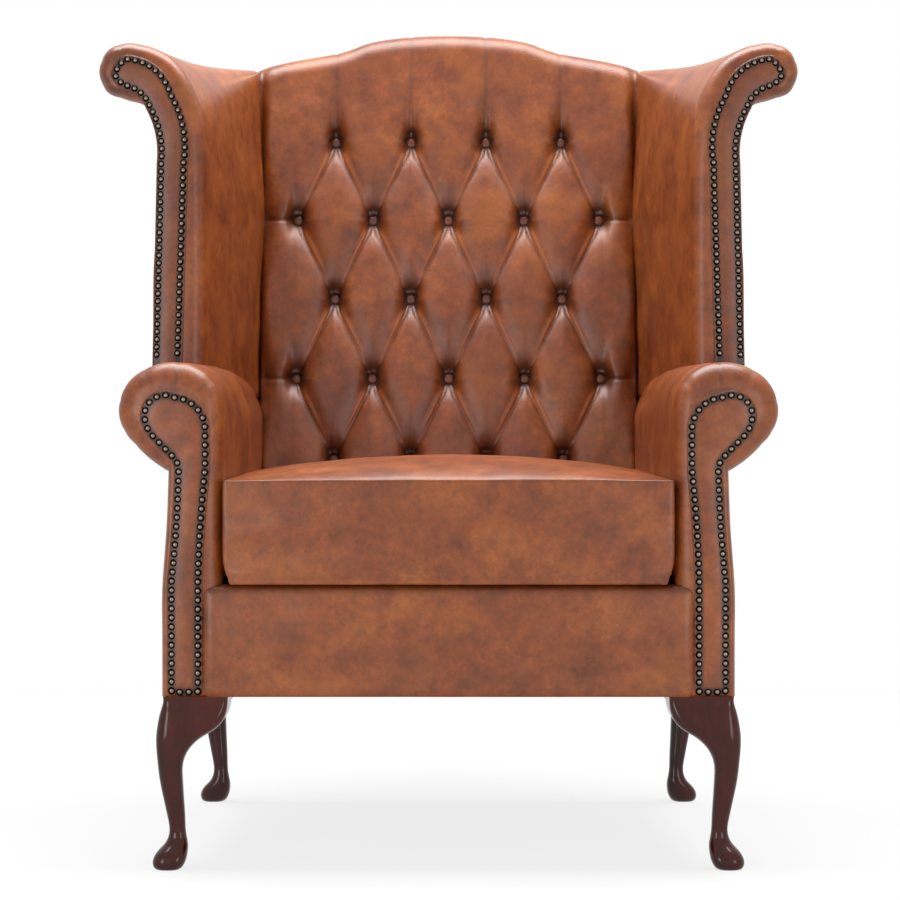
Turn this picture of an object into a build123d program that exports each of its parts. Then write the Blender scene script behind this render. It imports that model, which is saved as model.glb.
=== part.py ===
from build123d import *
import math
import os

# High-backed wing armchair with scroll arms, a deep-buttoned back and a loose seat cushion.
# Millimetres. Z is up, the front faces -Y, and the origin is on the floor under the middle.
# Left and right are as seen facing the chair, so left is -X.

# Overall sizes
overall_depth = 790.0
toe_reach = 12.0
front_y = -overall_depth / 2 + toe_reach
cut_overrun = 60.0

# Height levels
base_bottom = 216.0
deck_top = 356.0
cushion_thickness = 131.0
arm_top = 635.0
wing_top = 1063.5
crest_top = 1131.0

# Plan of the seat: half widths between the arms, and of the base outside
seat_half_front = 283.0
seat_half_back = 275.0
back_half_top = 284.0
back_flare_z = 650.0
base_half_front = 360.0
base_half_rear = 335.0
seat_back_depth = 530.0
base_depth = seat_back_depth + 100.0

# Cover and board thickness, and the clearance round what lifts out
leather = 2.0
board = 4.0
clearance = 0.5

# Rake of the back: depth of the pillows' front at the rake level, and the thickness behind it
rake_degrees = 12.0
rake_level = 500.0
rake_depth = seat_back_depth + 5.0
back_thickness = 108.0

# Deep buttoning: rows and columns of buttons, their wells, and the pillows between them
button_pitch = 111.0
row_pitch = 117.0
row_count = 5
lowest_row = 500.0
well_half = 8.0
well_depth = 28.0
well_rise = 1.0
crease_depth = 22.0
crease_half = 3.0
valley_depth = 14.0
quarter_depth = 18.0
pleat_depth = 5.0
pleat_run = 60.0

# Level sections of the buttoned back: how far a pillow may swell as a share of its width, how
# much of the way between rows counts as the quarter, and where the sections stand between rows
swell_share = 0.42
quarter_share = 0.3
between_shares = (0.25, 0.5, 0.75)

# Crest: outline over the top of the back, and the rounding of its front edge
crest_hump_half = 72.0
crest_hump_drop = 3.0
crest_fall_half = 126.0
crest_fall_drop = 13.5
crest_step_half = 162.0
crest_step_drop = 27.0
crest_shoulder_drop = 52.0
crest_swell = 5.0
crest_round = 20.0

# Front border under the cushion
border_half = 306.5
border_depth = 40.0
border_round = 12.0

# Arm: centre, reaches and rise of the roll, the notch under it, and the facing's border
roll_x = 345.0
roll_z = 575.0
roll_reach_out = 70.0
roll_x_rear = 322.0
roll_reach_out_rear = 50.0
under_degrees = 45.0
notch_x = 352.0
notch_z = 497.0
notch_rise_share = 0.6
waist_x = 354.5
waist_z = 430.0
skirt_z = 350.0
arm_edge_round = 25.0
arm_border_inner = 24.0
arm_border_roll = 30.0
arm_border_outer = 6.0

# Wing: where its front stands, its inner and outer reach, its head and its facing's border
wing_front_depth = 250.0
wing_edge_round = 24.0
wing_foot = 590.0
wing_inner_x = 326.0
wing_outer_x = 397.5
wing_tip_x = 466.5
wing_head = 138.5
wing_rear_thickness = 56.0
wing_rear_head = 34.0
wing_border_inner = 22.0
wing_border_roll = 14.0
wing_border_outer = 2.0

# Front and rear head of the wing as shares of its reach and of its head, then the inward
# direction of each point in x and z. The middle of an arc stands before the arc's end.
wing_head_shares = [
    (0.0, 1.0, 1.0, 0.0),
    (0.06, 0.57, 0.94, -0.34),
    (0.245, 0.22, 0.7, -0.7),
    (0.48, 0.055, 0.3, -0.95),
    (0.747, 0.0, 0.0, -1.0),
    (0.926, 0.075, -0.7, -0.7),
    (1.0, 0.256, -1.0, 0.0),
    (0.926, 0.438, -0.7, 0.7),
    (0.747, 0.513, 0.0, 1.0),
    (0.55, 0.6, -0.7, 0.7),
    (0.455, 0.89, -1.0, 0.0),
]
wing_rear_shares = [
    (0.0, 1.0, 1.0, 0.0),
    (0.05, 0.6, 0.94, -0.34),
    (0.18, 0.28, 0.7, -0.7),
    (0.32, 0.09, 0.4, -0.9),
    (0.5, 0.0, 0.0, -1.0),
    (0.72, 0.08, -0.45, -0.9),
    (0.86, 0.28, -0.8, -0.6),
    (0.95, 0.5, -0.95, -0.3),
    (0.985, 0.75, -1.0, -0.1),
    (0.997, 0.95, -1.0, 0.0),
    (1.0, 1.2, -1.0, 0.0),
]

# Nails, and the nail lines of the facings
nail_radius = 4.9
nail_height = 3.2
arm_nail_pitch = 11.4
wing_nail_pitch = 10.2
facing_margin = 6.5
facing_inner_x = 313.5
facing_outer_x = 346.0
facing_bottom = 222.5
facing_skirt_z = 360.0
facing_neck_inner_x = 304.5
facing_neck_outer_x = 337.0
facing_neck_z = 500.0
facing_roll_z = 550.0
facing_roll_top = 590.0
facing_tip_x = 379.5
facing_tip_z = 566.0
facing_under_x = 368.0
facing_under_z = 541.0
facing_notch_z = 515.0
facing_bow = 1.5

# Wing facing: nail line down the inside, round the scroll and up the outside
wing_line_inner_x = 363.5
wing_line_outer_x = 391.0
wing_line_waist_inner_x = 355.0
wing_line_waist_outer_x = 384.5
wing_line_waist_z = 905.0
wing_line_foot = 642.0
wing_line_tip_x = 446.5
wing_line_tip_z = 1023.0
wing_line_top_x = 431.7
wing_line_top_z = 1043.5
wing_line_bend_inner_x = 372.8
wing_line_bend_inner_z = 996.6
wing_line_under_x = 430.0
wing_line_under_z = 1008.0
wing_line_bend_outer_x = 399.5
wing_line_bend_outer_z = 980.0

# Wooden frame
rail_thickness = 28.0
rail_height = 114.0
rail_top = base_bottom + rail_height
rail_inset = 12.0
side_rail_x = 290.0
rail_half = side_rail_x + rail_thickness
post_width = 36.0
post_depth = 34.0
post_inset = 10.0
arm_rail_x = 306.0
arm_rail_z = 560.0
arm_rail_height = 24.0
arm_rail_width = 60.0
wing_post_width = 28.0
wing_post_x = 352.0
wing_post_top = 985.0
wing_rail_height = 26.0
wing_rail_rear_x = 294.0
back_post_top = 1036.0
back_rail_near = 78.0
back_rail_thickness = 24.0
back_rail_height = 60.0
lower_rail_z = 380.0
middle_rail_z = 700.0
crest_rail_z = 995.0

# Springs, clips, straps and the cloth underneath
spring_count = 5
spring_pitch = 100.0
spring_bends = 17
spring_wire_radius = 1.8
spring_half_width = 22.0
clip_width = 20.0
clip_length = 16.0
clip_thickness = 1.2
strap_count = 4
strap_pitch = 130.0
strap_width = 50.0
strap_thickness = 1.6
dust_thickness = 1.2
dust_half = 266.0
dust_wing_near = 95.0
dust_wing_far = 515.0

# Cushion: crown, drawn-in sides, and the zip in its rear boxing
cushion_proud = 4.0
cushion_crown = 24.0
cushion_draw = 4.0
cushion_lip = 1.0
zip_length = 420.0
zip_width = 8.0

# Cushion sections as shares of the seat's depth, then how much of the draw comes off the
# half width, and the crown and the drawn-in side there as shares of their full sizes.
cushion_shares = [
    (0.0, 0.0, 0.125, 0.25),
    (0.12, 0.5, 0.7, 1.0),
    (0.35, 1.0, 1.0, 1.0),
    (0.7, 1.75, 1.0, 1.0),
]

# Legs, bolts and corner blocks
leg_reach_front = 358.0
rear_leg_shift = 8.0
rear_leg_inset = 23.0
bolt_radius = 4.0
bolt_length = 70.0
bolt_depth = 30.0
bolt_inset = 62.0
block_side = 50.0
block_height = 60.0

# Buttons
button_radius = 7.4
button_dome = 5.0
button_rim = 1.5
stem_radius = 2.0
stem_length = 0.7

# Cabriole leg: height, outer edge and inner edge from the knee corner, as shares of the
# leg's height, and the corner radius as a share of the width there.
leg_shares = [
    (1.0, 0.0, 0.38, 0.1),
    (0.93, -0.008, 0.374, 0.12),
    (0.87, -0.024, 0.355, 0.16),
    (0.81, -0.034, 0.302, 0.2),
    (0.76, -0.038, 0.222, 0.26),
    (0.7, -0.036, 0.158, 0.3),
    (0.63, -0.03, 0.122, 0.36),
    (0.52, -0.018, 0.116, 0.4),
    (0.41, 0.002, 0.121, 0.42),
    (0.29, 0.026, 0.127, 0.44),
    (0.2, 0.033, 0.132, 0.44),
    (0.145, 0.01, 0.142, 0.42),
    (0.1, -0.032, 0.143, 0.38),
    (0.045, -0.056, 0.132, 0.38),
    (0.015, -0.05, 0.115, 0.4),
    (0.0, -0.03, 0.092, 0.4),
]

# Values worked out from the sizes above
rake_slope = math.tan(math.radians(rake_degrees))
rake_cosine = math.cos(math.radians(rake_degrees))
quarter_round = 1 - math.sqrt(0.5)
kink_z = rake_level + (base_depth - rake_depth - back_thickness) / rake_slope
highest_row = lowest_row + (row_count - 1) * row_pitch


def depth_y(depth):
    """Y of a depth behind the front plane."""
    return front_y + depth


def back_depth(height):
    """Depth of the pillows' front at a height."""
    return rake_depth + (height - rake_level) * rake_slope


def back_half(height):
    """Half width of the inside back at a height."""
    rise = max(0.0, height - back_flare_z) / (wing_top - back_flare_z)
    return seat_half_back + rise * (back_half_top - seat_half_back)


def front_plane(depth):
    """Upright plane across the chair, drawn in x and z."""
    return Plane.XZ.offset(-depth_y(depth))


def raked_plane(depth):
    """Plane leaning with the back through a depth at the rake level, drawn in x and along the rake."""
    lean = (0, -math.cos(math.radians(rake_degrees)), math.sin(math.radians(rake_degrees)))
    return Plane(origin=(0, depth_y(depth), rake_level), x_dir=(1, 0, 0), z_dir=lean)


def along_rake(height):
    """Distance along the rake from the rake level to a height."""
    return (height - rake_level) / rake_cosine


def cap_middle(radius, rise):
    """Point half way up the side of a round cap, with the cap's foot at zero."""
    ball = (radius**2 + rise**2) / (2 * rise)
    half_angle = math.asin(radius / ball) / 2
    return (ball * math.sin(half_angle), rise - ball * (1 - math.cos(half_angle)))


def on_ellipse(x, z, reach, rise, degrees):
    """Point of an upright ellipse about x and z."""
    angle = math.radians(degrees)
    return (x + reach * math.cos(angle), z + rise * math.sin(angle))


def closed_outline(plane, start, runs, margin=0.0):
    """Face inside a chain of lines and arcs, widened by margin: a run is an end, or a middle and end."""
    with BuildSketch(plane) as face:
        with BuildLine():
            here = start
            if runs[-1][-1] != start:
                runs = runs + [(start,)]
            for run in runs:
                if len(run) == 1:
                    Line(here, run[0])
                else:
                    ThreePointArc(here, run[0], run[1])
                here = run[-1]
        make_face()
        if margin > 0:
            offset(amount=margin)
    return face.sketch


def block(low, high):
    """Plain block between two corners given as x, depth and z."""
    with BuildPart() as solid:
        with BuildSketch(Plane.XY.offset(low[2])):
            with BuildLine():
                near = depth_y(low[1])
                far = depth_y(high[1])
                Polyline((low[0], near), (high[0], near), (high[0], far), (low[0], far), close=True)
            make_face()
        extrude(amount=high[2] - low[2])
    return solid.part


def side_plate(points, x_low, x_high):
    """Solid between two x with a side outline of depth and z points."""
    with BuildPart() as solid:
        with BuildSketch(Plane.YZ.offset(x_low)):
            with BuildLine():
                Polyline(*[(depth_y(depth), z) for depth, z in points], close=True)
            make_face()
        extrude(amount=x_high - x_low)
    return solid.part


def raked_plate(low, high, near, far, x_low, x_high):
    """Board leaning with the back from height low to high, near and far behind the pillows' front."""
    points = [
        (back_depth(low) + near, low),
        (back_depth(low) + far, low),
        (back_depth(high) + far, high),
        (back_depth(high) + near, high),
    ]
    return side_plate(points, x_low, x_high)


def rear_cutter(inset):
    """Everything behind the rear outline, which is upright below the kink and raked above it."""
    high = crest_top + cut_overrun
    points = [
        (base_depth - inset, -cut_overrun),
        (base_depth - inset, kink_z),
        (back_depth(high) + back_thickness - inset, high),
        (back_depth(high) + back_thickness + cut_overrun, high),
        (back_depth(high) + back_thickness + cut_overrun, -cut_overrun),
    ]
    return side_plate(points, -overall_depth, overall_depth)


def mirrored(part):
    """The same piece on the left side."""
    return mirror(part, about=Plane.YZ, mode=Mode.PRIVATE)


def finish(part, name):
    """Label one piece and write it."""
    part.label = name
    export_step(part, f"parts/{name}.step")


def finish_pair(part, name):
    """Write a right-hand piece and its mirror image."""
    finish(part, f"{name}_right")
    finish(mirrored(part), f"{name}_left")


def arm_outline(plane, inner, outer, center, reach_out, insets):
    """Outline of an arm: upright inside, roll over the top, notch under it and upright outside."""
    inset_inner, inset_roll, inset_outer = insets
    rise = arm_top - roll_z - inset_roll
    reach_in = center - inner - inset_inner
    reach = reach_out - inset_roll
    taper = base_half_front - outer
    crown = (center, roll_z + rise)
    tip = (center + reach, roll_z)
    notch = (notch_x - taper - inset_outer, notch_z + notch_rise_share * inset_roll)
    runs = [
        ((inner + inset_inner, roll_z),),
        (on_ellipse(center, roll_z, -reach_in, rise, 45), crown),
        (on_ellipse(center, roll_z, reach, rise, 45), tip),
        (
            on_ellipse(center, roll_z, reach, rise, -under_degrees / 2),
            on_ellipse(center, roll_z, reach, rise, -under_degrees),
        ),
        (notch,),
        ((waist_x - taper - inset_outer, waist_z), (outer - inset_outer, skirt_z)),
        ((outer - inset_outer, base_bottom),),
    ]
    return closed_outline(plane, (inner + inset_inner, base_bottom), runs)


def arm_envelope(inset):
    """Whole right arm with the side of the base under it, drawn in by inset."""
    borders = (arm_border_inner, arm_border_roll, arm_border_outer)
    even = (inset, inset, inset)
    rounding = tuple(inset + quarter_round * side for side in borders)
    border = tuple(inset + side for side in borders)
    front = (seat_half_front, base_half_front, roll_x, roll_reach_out)
    rear = (seat_half_back, base_half_rear, roll_x_rear, roll_reach_out_rear)
    share = seat_back_depth / (base_depth + cut_overrun)
    middle = [seat_half_back] + [a + share * (b - a) for a, b in zip(front[1:], rear[1:])]
    stations = [
        (inset, front, border),
        (inset + quarter_round * arm_edge_round, front, rounding),
        (inset + arm_edge_round, front, even),
        (seat_back_depth, middle, even),
        (base_depth + cut_overrun, rear, even),
    ]
    sections = [arm_outline(front_plane(depth), *shape, insets) for depth, shape, insets in stations]
    with BuildPart() as arm:
        loft(sections, ruled=True)
        add(rear_cutter(leather + inset), mode=Mode.SUBTRACT)
    return arm.part


def wing_outline(plane, shares, level, inner_foot, inner_x, reach, head, outer, insets):
    """Outline of a wing; level turns a height into a place on the plane."""
    inset_inner, inset_roll, inset_outer = insets
    points = []
    for index, (x_share, z_share, toward_x, toward_z) in enumerate(shares):
        inset = inset_roll
        if index < 3:
            inset = inset_inner
        if index == len(shares) - 1:
            inset = inset_outer
        x = inner_x + x_share * reach + toward_x * inset
        z = wing_top - z_share * head + toward_z * inset
        points.append((x, level(z)))
    runs = [(points[0],)]
    for index in range(1, len(points) - 1, 2):
        runs.append((points[index], points[index + 1]))
    runs.append(((outer - inset_outer, level(wing_foot)),))
    return closed_outline(plane, (inner_foot + inset_inner, level(wing_foot)), runs)


def upright(height):
    """Height drawn on an upright plane."""
    return height


def wing_envelope(inset):
    """Whole right wing from its scrolled front back to the rear outline, drawn in by inset."""
    borders = (wing_border_inner, wing_border_roll, wing_border_outer)
    even = (inset, inset, inset)
    rounding = tuple(inset + quarter_round * side for side in borders)
    border = tuple(inset + side for side in borders)
    reach = wing_tip_x - wing_inner_x
    front = (wing_head_shares, upright, wing_inner_x, wing_inner_x, reach, wing_head, wing_outer_x)
    foot_half = back_half(wing_foot)
    outer = foot_half + wing_rear_thickness
    rear_shape = (foot_half, back_half_top, wing_rear_thickness, wing_rear_head, outer)
    rear = (wing_rear_shares, along_rake, *rear_shape)
    face_depth = wing_front_depth + inset
    sections = [
        wing_outline(front_plane(face_depth), *front, border),
        wing_outline(front_plane(face_depth + quarter_round * wing_edge_round), *front, rounding),
        wing_outline(front_plane(face_depth + wing_edge_round), *front, even),
        wing_outline(raked_plane(rake_depth + crease_depth), *rear, even),
        wing_outline(raked_plane(rake_depth + back_thickness - leather - inset), *rear, even),
    ]
    with BuildPart() as wing:
        loft(sections, ruled=True)
    return wing.part


def row_distance(height):
    """Distance from a height to the nearest row with buttons beside the middle, in row pitches."""
    rows = (height - lowest_row) / row_pitch
    rows = min(max(rows, 0.0), row_count - 1.0)
    wave = rows % 2
    return min(wave, 2 - wave)


def valley_depth_at(height):
    """Depth of the folds between the pillows at a height."""
    if height > highest_row + well_half:
        run = min(1.0, (height - highest_row - well_half) / pleat_run)
        return well_depth + run * (pleat_depth - well_depth)
    if height < lowest_row - well_half:
        run = min(1.0, (lowest_row - well_half - height) / pleat_run)
        return well_depth + run * (valley_depth - well_depth)
    rows = (height - lowest_row) / row_pitch
    off = abs(rows - round(rows))
    if off * row_pitch <= well_half + clearance:
        return well_depth
    if off <= quarter_share:
        return quarter_depth
    return valley_depth


def valley_places(height):
    """X of every fold at a height, from left to right."""
    spread = row_distance(height) * button_pitch / 2
    spread = min(max(spread, well_half), button_pitch / 2 - well_half)
    half = back_half(height)
    places = []
    for column in (-2.5, -1.5, -0.5, 0.5, 1.5, 2.5):
        for side in (-1, 1):
            places.append(column * button_pitch + side * spread)
    inner = places[1:-1]
    inner[0] = max(inner[0], -half + crease_half)
    inner[-1] = min(inner[-1], half - crease_half)
    return inner


def tuft_section(height, inset, far):
    """Level section of the buttoned back: pillows in front, flat behind."""
    half = back_half(height)
    deep = valley_depth_at(height)
    folds = [(x, deep) for x in valley_places(height)]
    edge = crease_depth + row_distance(height) * (deep - crease_depth)
    folds[0] = (folds[0][0], edge)
    folds[-1] = (folds[-1][0], edge)
    points = [(-half, crease_depth)] + folds + [(half, crease_depth)]
    front = back_depth(height) + inset
    runs = []
    for (x_low, low), (x_high, high) in zip(points, points[1:]):
        width = x_high - x_low
        share = (width - 2 * well_half) / (button_pitch / 2 - 2 * well_half)
        share = min(max(share, 0.0), 1.0)
        swell = well_rise + share * (min(low, high) - well_rise)
        swell = min(swell, swell_share * width)
        middle = ((x_low + x_high) / 2, depth_y(front + min(low, high) - swell))
        runs.append((middle, (x_high, depth_y(front + high))))
    rear = depth_y(back_depth(height) + far)
    runs.append(((half, rear),))
    runs.append(((-half, rear),))
    start = (-half, depth_y(front + crease_depth))
    return closed_outline(Plane.XY.offset(height), start, runs)


def tuft_heights():
    """Heights of the level sections, from the deck to above the crest."""
    heights = [deck_top, lowest_row - well_half - pleat_run]
    for row in range(row_count):
        level = lowest_row + row * row_pitch
        heights += [level - well_half, level + well_half]
        if row < row_count - 1:
            heights += [level + share * row_pitch for share in between_shares]
    heights += [highest_row + well_half + pleat_run, wing_top, crest_top + cut_overrun]
    return heights


def crest_runs(drop):
    """Runs along the crest from right shoulder to left, lowered by drop, and the shoulder's height."""
    top = crest_top - drop
    half = back_half_top
    hump = [
        (crest_hump_half, crest_hump_drop),
        (crest_fall_half, crest_fall_drop),
        (crest_step_half, crest_step_drop),
    ]
    shoulder = (half, along_rake(top - crest_shoulder_drop))
    middle_drop = (crest_step_drop + crest_shoulder_drop) / 2 - crest_swell
    middle = ((crest_step_half + half) / 2, along_rake(top - middle_drop))
    right = [(x, along_rake(top - fall)) for x, fall in hump]
    left = [(-x, z) for x, z in right]
    runs = [
        (shoulder,),
        (middle, right[2]),
        (right[1],),
        (right[0],),
        ((0, along_rake(top)), left[0]),
        (left[1],),
        (left[2],),
        ((-middle[0], middle[1]), (-shoulder[0], shoulder[1])),
    ]
    return runs, shoulder[1]


def crest_outline(depth, drop):
    """Outline under the crest on a raked plane, lowered by drop."""
    crest, shoulder = crest_runs(drop)
    side = back_half_top + cut_overrun
    foot = along_rake(-cut_overrun)
    runs = [((side, foot),), ((side, shoulder),)] + crest + [((-side, shoulder),)]
    return closed_outline(raked_plane(depth), (-side, foot), runs)


def crest_body(inset):
    """Everything under the crest, with its front edge rounded, drawn in by inset."""
    stations = [
        (rake_depth - cut_overrun, crest_round + cut_overrun / 2),
        (rake_depth, crest_round),
        (rake_depth + quarter_round * crest_round, quarter_round * crest_round),
        (rake_depth + crest_round, 0),
        (rake_depth + back_thickness + cut_overrun, 0),
    ]
    with BuildPart() as body:
        loft([crest_outline(depth + inset, drop + inset) for depth, drop in stations], ruled=True)
    return body.part


def back_envelope(inset):
    """Buttoned back from the deck to the crest, its front and top drawn in by inset."""
    far = back_thickness - leather
    sections = [tuft_section(height, inset, far) for height in tuft_heights()]
    with BuildPart() as back:
        loft(sections, ruled=True)
        add(crest_body(inset), mode=Mode.INTERSECT)
        add(rear_cutter(leather), mode=Mode.SUBTRACT)
    return back.part


def cushion_section(plane, level, half, crown, draw, inset):
    """Section across the cushion: flat bottom, drawn-in sides and crowned top."""
    low = level(deck_top + inset)
    top = level(deck_top + cushion_thickness - inset)
    edge = half - clearance - inset
    middle = (low + top) / 2
    runs = [
        ((edge, low),),
        ((edge - draw, middle), (edge, top)),
        ((0, level(deck_top + cushion_thickness + crown - inset)), (-edge, top)),
        ((-edge + draw, middle), (-edge, low)),
    ]
    return closed_outline(plane, (-edge, low), runs)


def cushion_envelope(inset):
    """Seat cushion with its crown, drawn in by inset."""
    rear_depth = rake_depth - clearance - inset
    sections = []
    for share, narrowing, crown_share, draw_share in cushion_shares:
        plane = front_plane(inset - cushion_proud + share * seat_back_depth)
        half = seat_half_front - narrowing * cushion_draw
        crown = crown_share * cushion_crown
        draw = draw_share * cushion_draw
        sections.append(cushion_section(plane, upright, half, crown, draw, inset))
    rear = cushion_section(
        raked_plane(rear_depth), along_rake, seat_half_back, cushion_crown / 2, cushion_lip, inset
    )
    sections.append(rear)
    with BuildPart() as cushion:
        loft(sections, ruled=True)
    return cushion.part


def bolt_place(rear):
    """Where a right leg's bolt passes the leg's top, under the middle of the side rail."""
    depth = bolt_inset
    if rear:
        depth = base_depth - rear_leg_inset - bolt_inset
    return (side_rail_x + rail_thickness / 2, depth_y(depth), base_bottom)


def leg_section(share, outer_share, inner_share, corner_share, rear):
    """Rounded square section of a right leg, its corner towards the foot's toe."""
    outer = leg_reach_front - outer_share * base_bottom
    inner = leg_reach_front - inner_share * base_bottom
    width = outer - inner
    side = 1
    corner_y = front_y
    if rear:
        side = -1
        outer -= rear_leg_shift
        corner_y = depth_y(base_depth - rear_leg_inset)
    middle_x = outer - width / 2
    middle_y = corner_y + side * (outer_share * base_bottom + width / 2)
    with BuildSketch(Plane.XY.offset(share * base_bottom)) as section:
        with Locations((middle_x, middle_y)):
            RectangleRounded(width, width, corner_share * width)
    return section.sketch


def leg(rear):
    """One right cabriole leg, bored for its bolt."""
    sections = [leg_section(*row, rear) for row in reversed(leg_shares)]
    with BuildPart() as wood:
        loft(sections)
        with Locations(bolt_place(rear)):
            Cylinder(bolt_radius, 2 * bolt_depth, mode=Mode.SUBTRACT)
    return wood.part


def front_block(inset):
    """Front border between the nailed strips, drawn in by inset, open below and behind."""
    points = [
        (inset, base_bottom),
        (inset, deck_top - border_round),
        (inset + quarter_round * border_round, deck_top - inset - quarter_round * border_round),
        (border_round, deck_top - inset),
        (border_depth, deck_top - inset),
        (border_depth, base_bottom),
    ]
    return side_plate(points, -border_half, border_half)


def arm_nail_line(plane, margin):
    """Nail line of an arm facing, widened by margin."""
    skirt = facing_skirt_z
    middle_z = (skirt + facing_neck_z) / 2
    middle_inner = (facing_inner_x + facing_neck_inner_x) / 2 + facing_bow
    middle_outer = (facing_outer_x + facing_neck_outer_x) / 2 - facing_bow
    crown_x = (facing_neck_inner_x + facing_tip_x) / 2
    corner = (facing_roll_top - facing_roll_z) * quarter_round
    runs = [
        ((facing_inner_x, skirt),),
        ((middle_inner, middle_z), (facing_neck_inner_x, facing_neck_z)),
        ((facing_neck_inner_x, facing_roll_z),),
        ((facing_neck_inner_x + corner, facing_roll_top - corner), (crown_x, facing_roll_top)),
        ((facing_tip_x - corner / 2, facing_roll_top - corner / 2), (facing_tip_x, facing_tip_z)),
        (
            (facing_tip_x - corner / 4, (facing_tip_z + facing_under_z) / 2),
            (facing_under_x, facing_under_z),
        ),
        ((facing_neck_outer_x + corner / 2, facing_notch_z),),
        (
            (facing_neck_outer_x + corner / 8, (facing_notch_z + facing_neck_z) / 2),
            (facing_neck_outer_x, facing_neck_z),
        ),
        ((middle_outer, middle_z), (facing_outer_x, skirt)),
        ((facing_outer_x, facing_bottom),),
    ]
    return closed_outline(plane, (facing_inner_x, facing_bottom), runs, margin)


def wing_nail_line(plane, margin):
    """Nail line of a wing facing, closed across its foot, widened by margin."""
    head_z = wing_line_under_z - wing_edge_round
    tip_low = (wing_line_tip_x - nail_radius, (wing_line_tip_z + wing_line_under_z) / 2)
    under_middle = (head_z + wing_line_under_z) / 2 + nail_radius
    runs = [
        ((wing_line_waist_inner_x, wing_line_waist_z),),
        (
            (wing_line_waist_inner_x + nail_radius, wing_line_bend_outer_z - wing_edge_round / 2),
            (wing_line_bend_inner_x, wing_line_bend_inner_z),
        ),
        (
            ((wing_line_bend_inner_x + wing_line_top_x) / 2 - nail_radius, head_z + 2 * wing_edge_round),
            (wing_line_top_x, wing_line_top_z),
        ),
        (
            (wing_line_tip_x - nail_radius, wing_line_top_z - 2 * nail_radius),
            (wing_line_tip_x, wing_line_tip_z),
        ),
        (tip_low, (wing_line_under_x, wing_line_under_z)),
        (
            ((wing_line_under_x + wing_line_bend_outer_x) / 2, under_middle),
            (wing_line_bend_outer_x, wing_line_bend_outer_z),
        ),
        (
            (wing_line_waist_outer_x + nail_radius, wing_line_bend_outer_z - wing_edge_round),
            (wing_line_waist_outer_x, wing_line_waist_z),
        ),
        ((wing_line_outer_x, wing_line_foot),),
    ]
    return closed_outline(plane, (wing_line_inner_x, wing_line_foot), runs, margin)


def facing(outline):
    """Thin panel behind a facing's outline."""
    with BuildPart() as panel:
        extrude(outline, amount=board, dir=(0, 1, 0))
    return panel.part


def nails_along(outline, pitch, lowest):
    """Nail heads spaced evenly along an outline, above a lowest height."""
    line = outline.faces()[0].outer_wire()
    count = round(line.length / pitch)
    places = [line.position_at(index / count) for index in range(count)]
    places = [place for place in places if place.Z > lowest]
    with BuildPart() as nails:
        with Locations(*places):
            add(nail_head.part)
    return nails.part


def cut_from(part, *cutters):
    """A part with others taken out of it."""
    with BuildPart() as rest:
        add(part)
        for cutter in cutters:
            add(cutter, mode=Mode.SUBTRACT)
    return rest.part


def common_to(part, other):
    """What two parts share."""
    with BuildPart() as shared:
        add(part)
        add(other, mode=Mode.INTERSECT)
    return shared.part


os.makedirs("parts", exist_ok=True)

# Seat rails, corner blocks, legs and their bolts

front_rail = block((-rail_half, rail_inset, base_bottom), (rail_half, border_depth, rail_top))
finish(front_rail, "front_seat_rail")

rear_rail_far = base_depth - rail_inset
rear_rail_near = rear_rail_far - rail_thickness
rear_rail = block((-rail_half, rear_rail_near, base_bottom), (rail_half, rear_rail_far, rail_top))
finish(rear_rail, "rear_seat_rail")

side_rail_outer = side_rail_x + rail_thickness
side_rail_whole = block(
    (side_rail_x, border_depth, base_bottom), (side_rail_outer, rear_rail_near, rail_top)
)
bolt_places = [bolt_place(False), bolt_place(True)]
with BuildPart() as side_seat_rail:
    add(side_rail_whole)
    with Locations(*bolt_places):
        Cylinder(bolt_radius, 2 * (bolt_length - bolt_depth), mode=Mode.SUBTRACT)
finish_pair(side_seat_rail.part, "side_seat_rail")

with BuildPart() as corner_blocks:
    for near in (border_depth, rear_rail_near - block_side):
        low = (side_rail_x - block_side, near, base_bottom)
        right_block = block(low, (side_rail_x, near + block_side, base_bottom + block_height))
        add(right_block)
        add(mirrored(right_block))
finish(corner_blocks.part, "corner_blocks")

finish_pair(leg(False), "front_leg")
finish_pair(leg(True), "rear_leg")

with BuildPart() as leg_bolts:
    for x, y, z in bolt_places:
        with Locations((x, y, z - bolt_depth), (-x, y, z - bolt_depth)):
            Cylinder(bolt_radius, bolt_length, align=(Align.CENTER, Align.CENTER, Align.MIN))
finish(leg_bolts.part, "leg_bolts")

# Upright frame: posts and rails inside the arms, the wings and the back

post_far = back_thickness - leather - post_inset
post_near = post_far - post_depth
post_points = [
    (back_depth(kink_z) + post_near, rail_top),
    (back_depth(kink_z) + post_near, kink_z),
    (back_depth(back_post_top) + post_near, back_post_top),
    (back_depth(back_post_top) + post_far, back_post_top),
    (back_depth(kink_z) + post_far, kink_z),
    (back_depth(kink_z) + post_far, rail_top),
]
back_post = side_plate(post_points, side_rail_x, side_rail_x + post_width)
finish_pair(back_post, "back_post")

back_rail_far = back_rail_near + back_rail_thickness
back_rails = {}
for rail_name, low in (("lower", lower_rail_z), ("middle", middle_rail_z), ("crest", crest_rail_z)):
    high = low + back_rail_height
    rail = raked_plate(low, high, back_rail_near, back_rail_far, -side_rail_x, side_rail_x)
    back_rails[rail_name] = rail
finish(back_rails["lower"], "lower_back_rail")
finish(back_rails["middle"], "middle_back_rail")
finish(back_rails["crest"], "crest_rail")

arm_post = block(
    (side_rail_x, border_depth, rail_top),
    (side_rail_x + post_width, border_depth + post_depth, arm_rail_z),
)
finish_pair(arm_post, "arm_post")

arm_rail_top = arm_rail_z + arm_rail_height
arm_rail = block(
    (arm_rail_x, border_depth, arm_rail_z),
    (arm_rail_x + arm_rail_width, back_depth(arm_rail_z) + post_near, arm_rail_top),
)
finish_pair(arm_rail, "arm_rail")

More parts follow.
